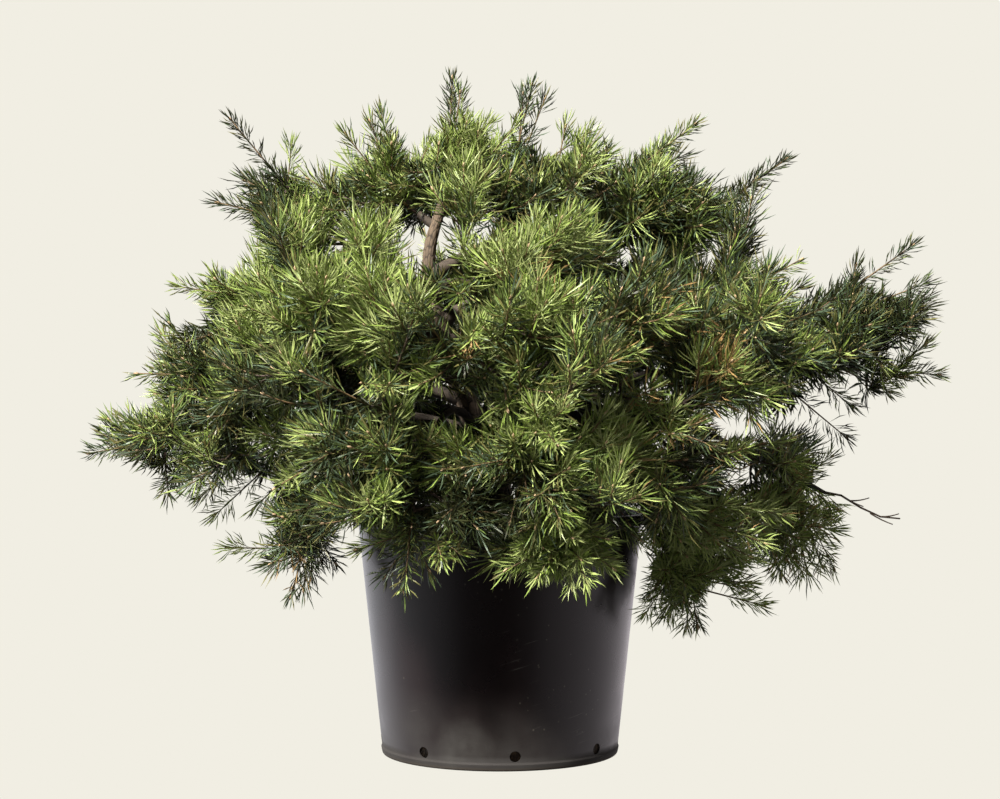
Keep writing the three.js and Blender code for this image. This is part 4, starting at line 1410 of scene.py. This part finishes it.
class PINE_OT_boughs(Operator):
    """Makes the boughs and the stems that carry them on into the needles"""
    bl_idname = "pine.boughs"
    bl_label = "Boughs"

    # Rings and sides of each stretch, and the heights between which bark turns orange
    BOUGH_GRID = (56, 14)
    STEM_GRID = (48, 10)
    ORANGE = (0.4, 0.8)
    FLAKE = 7
    RELIEF = 0.5
    # Painted shade: how much darker the bark of boughs and stems is, for standing inside the crown's
    # shade
    BOUGH_SHADE = 0.4
    STEM_SHADE = 0.3

    def execute(self, context):
        settings = context.scene.pine_wood
        boughs = [branch for branch in BRANCHES if branch.bare > 0]
        parts = [self.stretch(branch, 0.0, branch.bare, *self.BOUGH_GRID) for branch in boughs]
        finish = bark_finish("bough_bark", settings, *self.ORANGE, self.BOUGH_SHADE)
        bark_piece("bough_bark", parts, finish, ["bough_" + branch.name for branch in boughs])
        parts = [self.stretch(branch, branch.bare, branch.stem_end, *self.STEM_GRID)
                 for branch in BRANCHES]
        finish = bark_finish("stem_bark", settings, *self.ORANGE, self.STEM_SHADE)
        bark_piece("stem_bark", parts, finish, FOLIAGE_NODES)
        return {"FINISHED"}

    def stretch(self, branch, start, end, rings, sides):
        """Part of a branch as a limb with bark."""
        shares = np.linspace(start, end, rings)
        radius = branch.radius(shares)
        relief = self.RELIEF * radius / BOUGH_RADII[0]
        return closed_limb(*limb(branch.curve, shares, radius, branch.side, sides, self.FLAKE, relief))


class PINE_OT_twigs(Operator):
    """Makes the old twigs, this year's twigs and the buds at their ends"""
    bl_idname = "pine.twigs"
    bl_label = "Twigs and buds"

    TWIG_RADII = (2.4, 1.5)
    TWIG_SIDES = 5
    FINE_SIDES = 4
    # A bud's radii along it as shares of its radius, from a little before the twig's end
    BUD_PROFILE = (0.6, 1.0, 0.8, 0.12)
    BUD_FROM = -0.1
    # How much darker or paler the mottling of each kind is
    OLD_MOTTLE = 0.45
    YOUNG_MOTTLE = 0.5
    BUD_MOTTLE = 1.35

    def execute(self, context):
        wood = context.scene.pine_wood
        growth = grown(context.scene.pine_needles.seed)
        twigs, thickness = as_arrays(growth.twigs)
        twigs = twigs[:, ::2]
        radii = np.linspace(*self.TWIG_RADII, twigs.shape[1]) * thickness[:, None]
        self.make("old_twigs", twigs, radii, self.TWIG_SIDES, wood.old_twig, self.OLD_MOTTLE)
        axes = as_arrays(growth.shoots)[0]
        young = axes[:, ::2]
        radii = np.broadcast_to(np.linspace(*SHOOT_RADII, young.shape[1]), young.shape[:2])
        self.make("young_twigs", young, radii, self.FINE_SIDES, wood.young_twig, self.YOUNG_MOTTLE)
        forward = unit(axes[:, -1] - axes[:, -2])
        reach = np.linspace(self.BUD_FROM, 1, len(self.BUD_PROFILE)) * BUD_LENGTH
        lines = axes[:, -1:] + forward[:, None] * reach[:, None]
        radii = np.broadcast_to(np.array(self.BUD_PROFILE) * BUD_RADIUS, lines.shape[:2])
        self.make("buds", lines, radii, self.FINE_SIDES, wood.bud, self.BUD_MOTTLE)
        return {"FINISHED"}

    def make(self, name, lines, radii, sides, colour, mottle):
        """One piece from many tubes."""
        corners, faces = tubes(lines, radii, sides)
        finish = twig_finish(name, colour, [min(1, part * mottle) for part in colour])
        new_piece(name, new_mesh(name, corners, faces), finish, FOLIAGE_NODES)


class PINE_OT_needles(Operator):
    """Makes the needles, in pairs round every shoot, a piece for each colour"""
    bl_idname = "pine.needles"
    bl_label = "Needles"

    # Needles lean from a shoot by these degrees at its base and its tip, and vary by a few
    LEAN_BASE = 64
    LEAN_TIP = 38
    LEAN_VARIES = 13
    # How far a pair's turn round the shoot, a needle's length and the side it bends to vary
    TURN_VARIES = 0.12
    LENGTH_VARIES = 0.13
    BEND_VARIES = 0.5
    # The shoot's last share, where needles fan out of the tip
    FAN_FROM = 0.84
    FAN = (6, 52)
    PAIR_SPREAD = 0.2
    # The powers that crowd needles towards a shoot's tip, and more where they are short
    TO_TIP = 0.8
    SHORT_CROWDS = 0.7
    LIFT = 0.12
    WIDEST_AT = 0.66
    BEND = (0.02, 0.07)
    # A needle's thickness as a share of its width
    FLATNESS = 0.7
    SUNK = 0.8
    # How far tips may stand out of the frame's box, how clear they stay of the pot, and how far they
    # reach into an opening, below 0
    BOX_ROOM = 9
    POT_ROOM = 1.5
    EDGE = -2
    # The stretch of a twig's outer end that keeps last year's needles, and their share of them all
    OLD_FROM = 0.25
    OLD_SHARE = 0.17
    # The faces of a needle between its foot, the three corners of its widest part and its tip
    NEEDLE_FACES = ((4, 1, 2), (4, 2, 3), (4, 3, 1), (0, 2, 1), (0, 3, 2), (0, 1, 3))
    # The kinds, roughly from bright to dark, with the share of sprays that each gets; dealt by the score
    # below, the brighter kinds are painted light and the darker ones painted shade, besides each kind's
    # own colour
    DEAL = (("fresh", 0.08), ("lime", 0.08), ("light", 0.11), ("middle", 0.16), ("olive", 0.11),
            ("blue", 0.12), ("deep", 0.18), ("shade", 0.16))
    # Painted light and shade: how much brighter sprays that point up are, the height over which they
    # darken by one, how much they darken with each millimetre to the right and to the back; and how much
    # chance moves them
    POINTED_UP = 0.4
    HEIGHT_DARKENS = 1500
    RIGHT_DARKENS = 0.0004
    BACK_DARKENS = 0.0007
    CHANCE = 0.35
    # Painted shade, with some real darkening of older needles: how much darker sprays inside the crown
    # are, and last year's needles on twigs
    INNER = 0.9
    OLD_AND_SHADED = 1.2
    # Painted shade: how much darker sprays inside and just beside a hollow are
    HOLLOW = 1.0
    HOLLOW_ROOM = 8
    # How much wider needles inside the crown are, and how much sparser on leading shoots
    INNER_WIDTH = 1.35
    LEADER_CROWDING = 0.66
    # How far needles stray from their spray's kind
    STRAY = 1.4

    def execute(self, context):
        settings = context.scene.pine_needles
        growth = grown(settings.seed)
        random = np.random.default_rng(settings.seed + 1)
        axes, scales, inner, leading = as_arrays(growth.shoots)
        wood, wood_scales = as_arrays(growth.old_wood)
        old_count = round(settings.count * self.OLD_SHARE)
        # Painted shade: sprays inside the crown and the needles on older wood are dealt darker kinds
        lowered = np.concatenate([inner * self.INNER, np.full(len(wood), self.OLD_AND_SHADED)])
        kinds = self.deal(np.concatenate([axes, wood]), lowered, random)
        widths = np.where(inner, self.INNER_WIDTH, 1.0)
        crowding = np.where(leading, self.LEADER_CROWDING, 1.0)
        young = self.round_lines(axes, scales, widths, crowding, kinds[:len(axes)],
                                 settings, settings.count - old_count, 0.0, random)
        widths = np.full(len(wood), self.INNER_WIDTH)
        old = self.round_lines(wood, wood_scales, widths, np.ones(len(wood)), kinds[len(axes):],
                               settings, old_count, self.OLD_FROM, random)
        corners, kinds = (np.concatenate(pair) for pair in zip(young, old))
        names = [name for name, _ in self.DEAL] + ["dry"]
        faces = np.array(self.NEEDLE_FACES)
        for kind, name in enumerate(names):
            chosen = corners[kinds == kind]
            indices = (faces + np.arange(len(chosen))[:, None, None] * 5).reshape(-1, 3)
            mesh = new_mesh("needles_" + name, chosen.reshape(-1, 3), [indices], flat=True)
            finish = needle_finish("needles_" + name, getattr(settings, name))
            new_piece("needles_" + name, mesh, finish, FOLIAGE_NODES)
        return {"FINISHED"}

    def deal(self, axes, lowered, random):
        """A kind for each spray, with painted light and shade: brighter the lower it is, the more it
        points up, and the more it is to the front and left, darker inside the crown and near hollows, by
        the places' tones, and partly by chance."""
        tip = axes[:, -1]
        direction = unit(axes[:, -1] - axes[:, 0])
        middle = axes[:, AXIS_POINTS // 2]
        lowered = lowered + self.HOLLOW * near_places(middle, HOLLOWS, self.HOLLOW_ROOM)
        score = (self.POINTED_UP * direction[:, 2] - tip[:, 2] / self.HEIGHT_DARKENS
                 - self.RIGHT_DARKENS * tip[:, 0] - self.BACK_DARKENS * tip[:, 1]
                 + random.normal(0, self.CHANCE, len(axes)) - lowered + tone_at(tip))
        rank = np.empty(len(axes))
        rank[np.argsort(-score)] = (np.arange(len(axes)) + 0.5) / len(axes)
        edges = np.cumsum([share for _, share in self.DEAL])
        return np.minimum(np.searchsorted(edges, rank), len(self.DEAL) - 1)

    def round_lines(self, lines, scales, widths, crowding, kinds, settings, count, first, random):
        """Needles in pairs round lines, each as five corners: its foot, three round its widest part
        and its tip. A needle's direction is cos L along the line + sin L away from it, with L its
        lean, and pairs follow each other a golden angle on. Its widest part stands off the straight
        from foot to tip, so it is bent."""
        lengths = np.linalg.norm(np.diff(lines, axis=1), axis=2).sum(1)
        weights = crowding * lengths / scales**self.SHORT_CROWDS
        pairs = np.maximum(2, np.round(count / 2 * weights / weights.sum())).astype(int)
        line = np.repeat(np.arange(len(lines)), pairs)
        number = np.arange(len(line)) - np.repeat(np.cumsum(pairs) - pairs, pairs)
        share = mix(first, 1, ((number + random.uniform(0, 1, len(line))) / pairs[line]) ** self.TO_TIP)
        line, number, share = (np.repeat(values, 2) for values in (line, number, share))
        twin = np.tile([-1.0, 1.0], len(line) // 2)
        place = share * (lines.shape[1] - 1)
        step = np.minimum(place.astype(int), lines.shape[1] - 2)
        start, end = lines[line, step], lines[line, step + 1]
        along = unit(end - start)
        foot = mix(start, end, (place - step)[:, None])
        one, two = across(along)
        stray = random.normal(0, self.TURN_VARIES, len(line))
        turn = number * GOLDEN_ANGLE + line + twin * self.PAIR_SPREAD + stray
        away = one * np.cos(turn)[:, None] + two * np.sin(turn)[:, None]
        lean = mix(self.LEAN_BASE, self.LEAN_TIP, share) + random.normal(0, self.LEAN_VARIES, len(line))
        fan = random.uniform(*self.FAN, len(line))
        lean = np.radians(np.where((share > self.FAN_FROM) & (first == 0), fan, lean))[:, None]
        direction = unit(along * np.cos(lean) + away * np.sin(lean) + UP * self.LIFT)
        length = settings.length / MM * scales[line] * random.normal(1, self.LENGTH_VARIES, len(line))
        length = length[:, None]
        outside = away * np.cos(lean) - along * np.sin(lean)
        outside = outside - direction * (outside * direction).sum(1, keepdims=True)
        sideways = self.BEND_VARIES * random.normal(0, 1, len(line))[:, None]
        outside = unit(outside + sideways * np.cross(direction, outside))
        bend = random.uniform(*self.BEND, (len(line), 1))
        foot = foot - direction * self.SUNK
        widest = foot + direction * length * self.WIDEST_AT + outside * length * bend
        width = settings.width / MM * widths[line][:, None]
        half = np.cross(direction, outside) * width / 2
        thick = outside * width * self.FLATNESS / 3
        tip = foot + direction * length
        kind = kinds[line]
        steps = np.round(random.normal(0, self.STRAY, len(line))).astype(int)
        kind = np.clip(kind + steps, 0, len(self.DEAL) - 1)
        chance = random.uniform(0, 1, len(line))
        dry = [near_places(tip, [row[:3]]) & (chance < row[3]) for row in DRY_PLACES]
        kind = np.where(np.any(dry, axis=0) & (tip[:, 1] < 0), len(self.DEAL), kind)
        hollow = near_places(tip, HOLLOWS, self.EDGE) & (tip[:, 1] < HOLLOW_FRONT)
        gap = near_places(widest, SKY_GAPS, self.EDGE)
        keep = ~(in_pot(tip, self.POT_ROOM) | outside_box(tip, self.BOX_ROOM) | gap | hollow)
        corners = np.stack([foot, widest + thick * 2, widest + half - thick,
                            widest - half - thick, tip], 1)
        return corners[keep], kind[keep]


class PINE_PT_panel(Panel):
    """Lists the pieces in the order in which they are made"""
    bl_idname = "PINE_PT_panel"
    bl_label = "Potted Scots pine"
    bl_space_type = "VIEW_3D"
    bl_region_type = "UI"
    bl_category = "Pine"

    def draw(self, context):
        for group in (context.scene.pine_pot, context.scene.pine_compost, context.scene.pine_wood,
                      context.scene.pine_needles, context.scene.pine_stage):
            box = self.layout.box()
            for name in group.__annotations__:
                box.prop(group, name)
        for operator in OPERATORS:
            self.layout.operator(operator.bl_idname)


OPERATORS = (PINE_OT_stage, PINE_OT_pot, PINE_OT_compost, PINE_OT_trunk, PINE_OT_boughs, PINE_OT_twigs,
             PINE_OT_needles)
SETTINGS = {"pine_pot": PotSettings, "pine_compost": CompostSettings, "pine_wood": WoodSettings,
            "pine_needles": NeedleSettings, "pine_stage": StageSettings}


def register():
    for made in (*SETTINGS.values(), *OPERATORS, PINE_PT_panel):
        bpy.utils.register_class(made)
    for name, group in SETTINGS.items():
        setattr(bpy.types.Scene, name, PointerProperty(type=group))


def unregister():
    for name in SETTINGS:
        delattr(bpy.types.Scene, name)
    for made in (PINE_PT_panel, *reversed(OPERATORS), *SETTINGS.values()):
        bpy.utils.unregister_class(made)


def main():
    register()
    bpy.ops.pine.stage()
    bpy.ops.pine.pot()
    bpy.ops.pine.compost()
    bpy.ops.pine.trunk()
    bpy.ops.pine.boughs()
    bpy.ops.pine.twigs()
    bpy.ops.pine.needles()


if __name__ == "__main__":
    main()
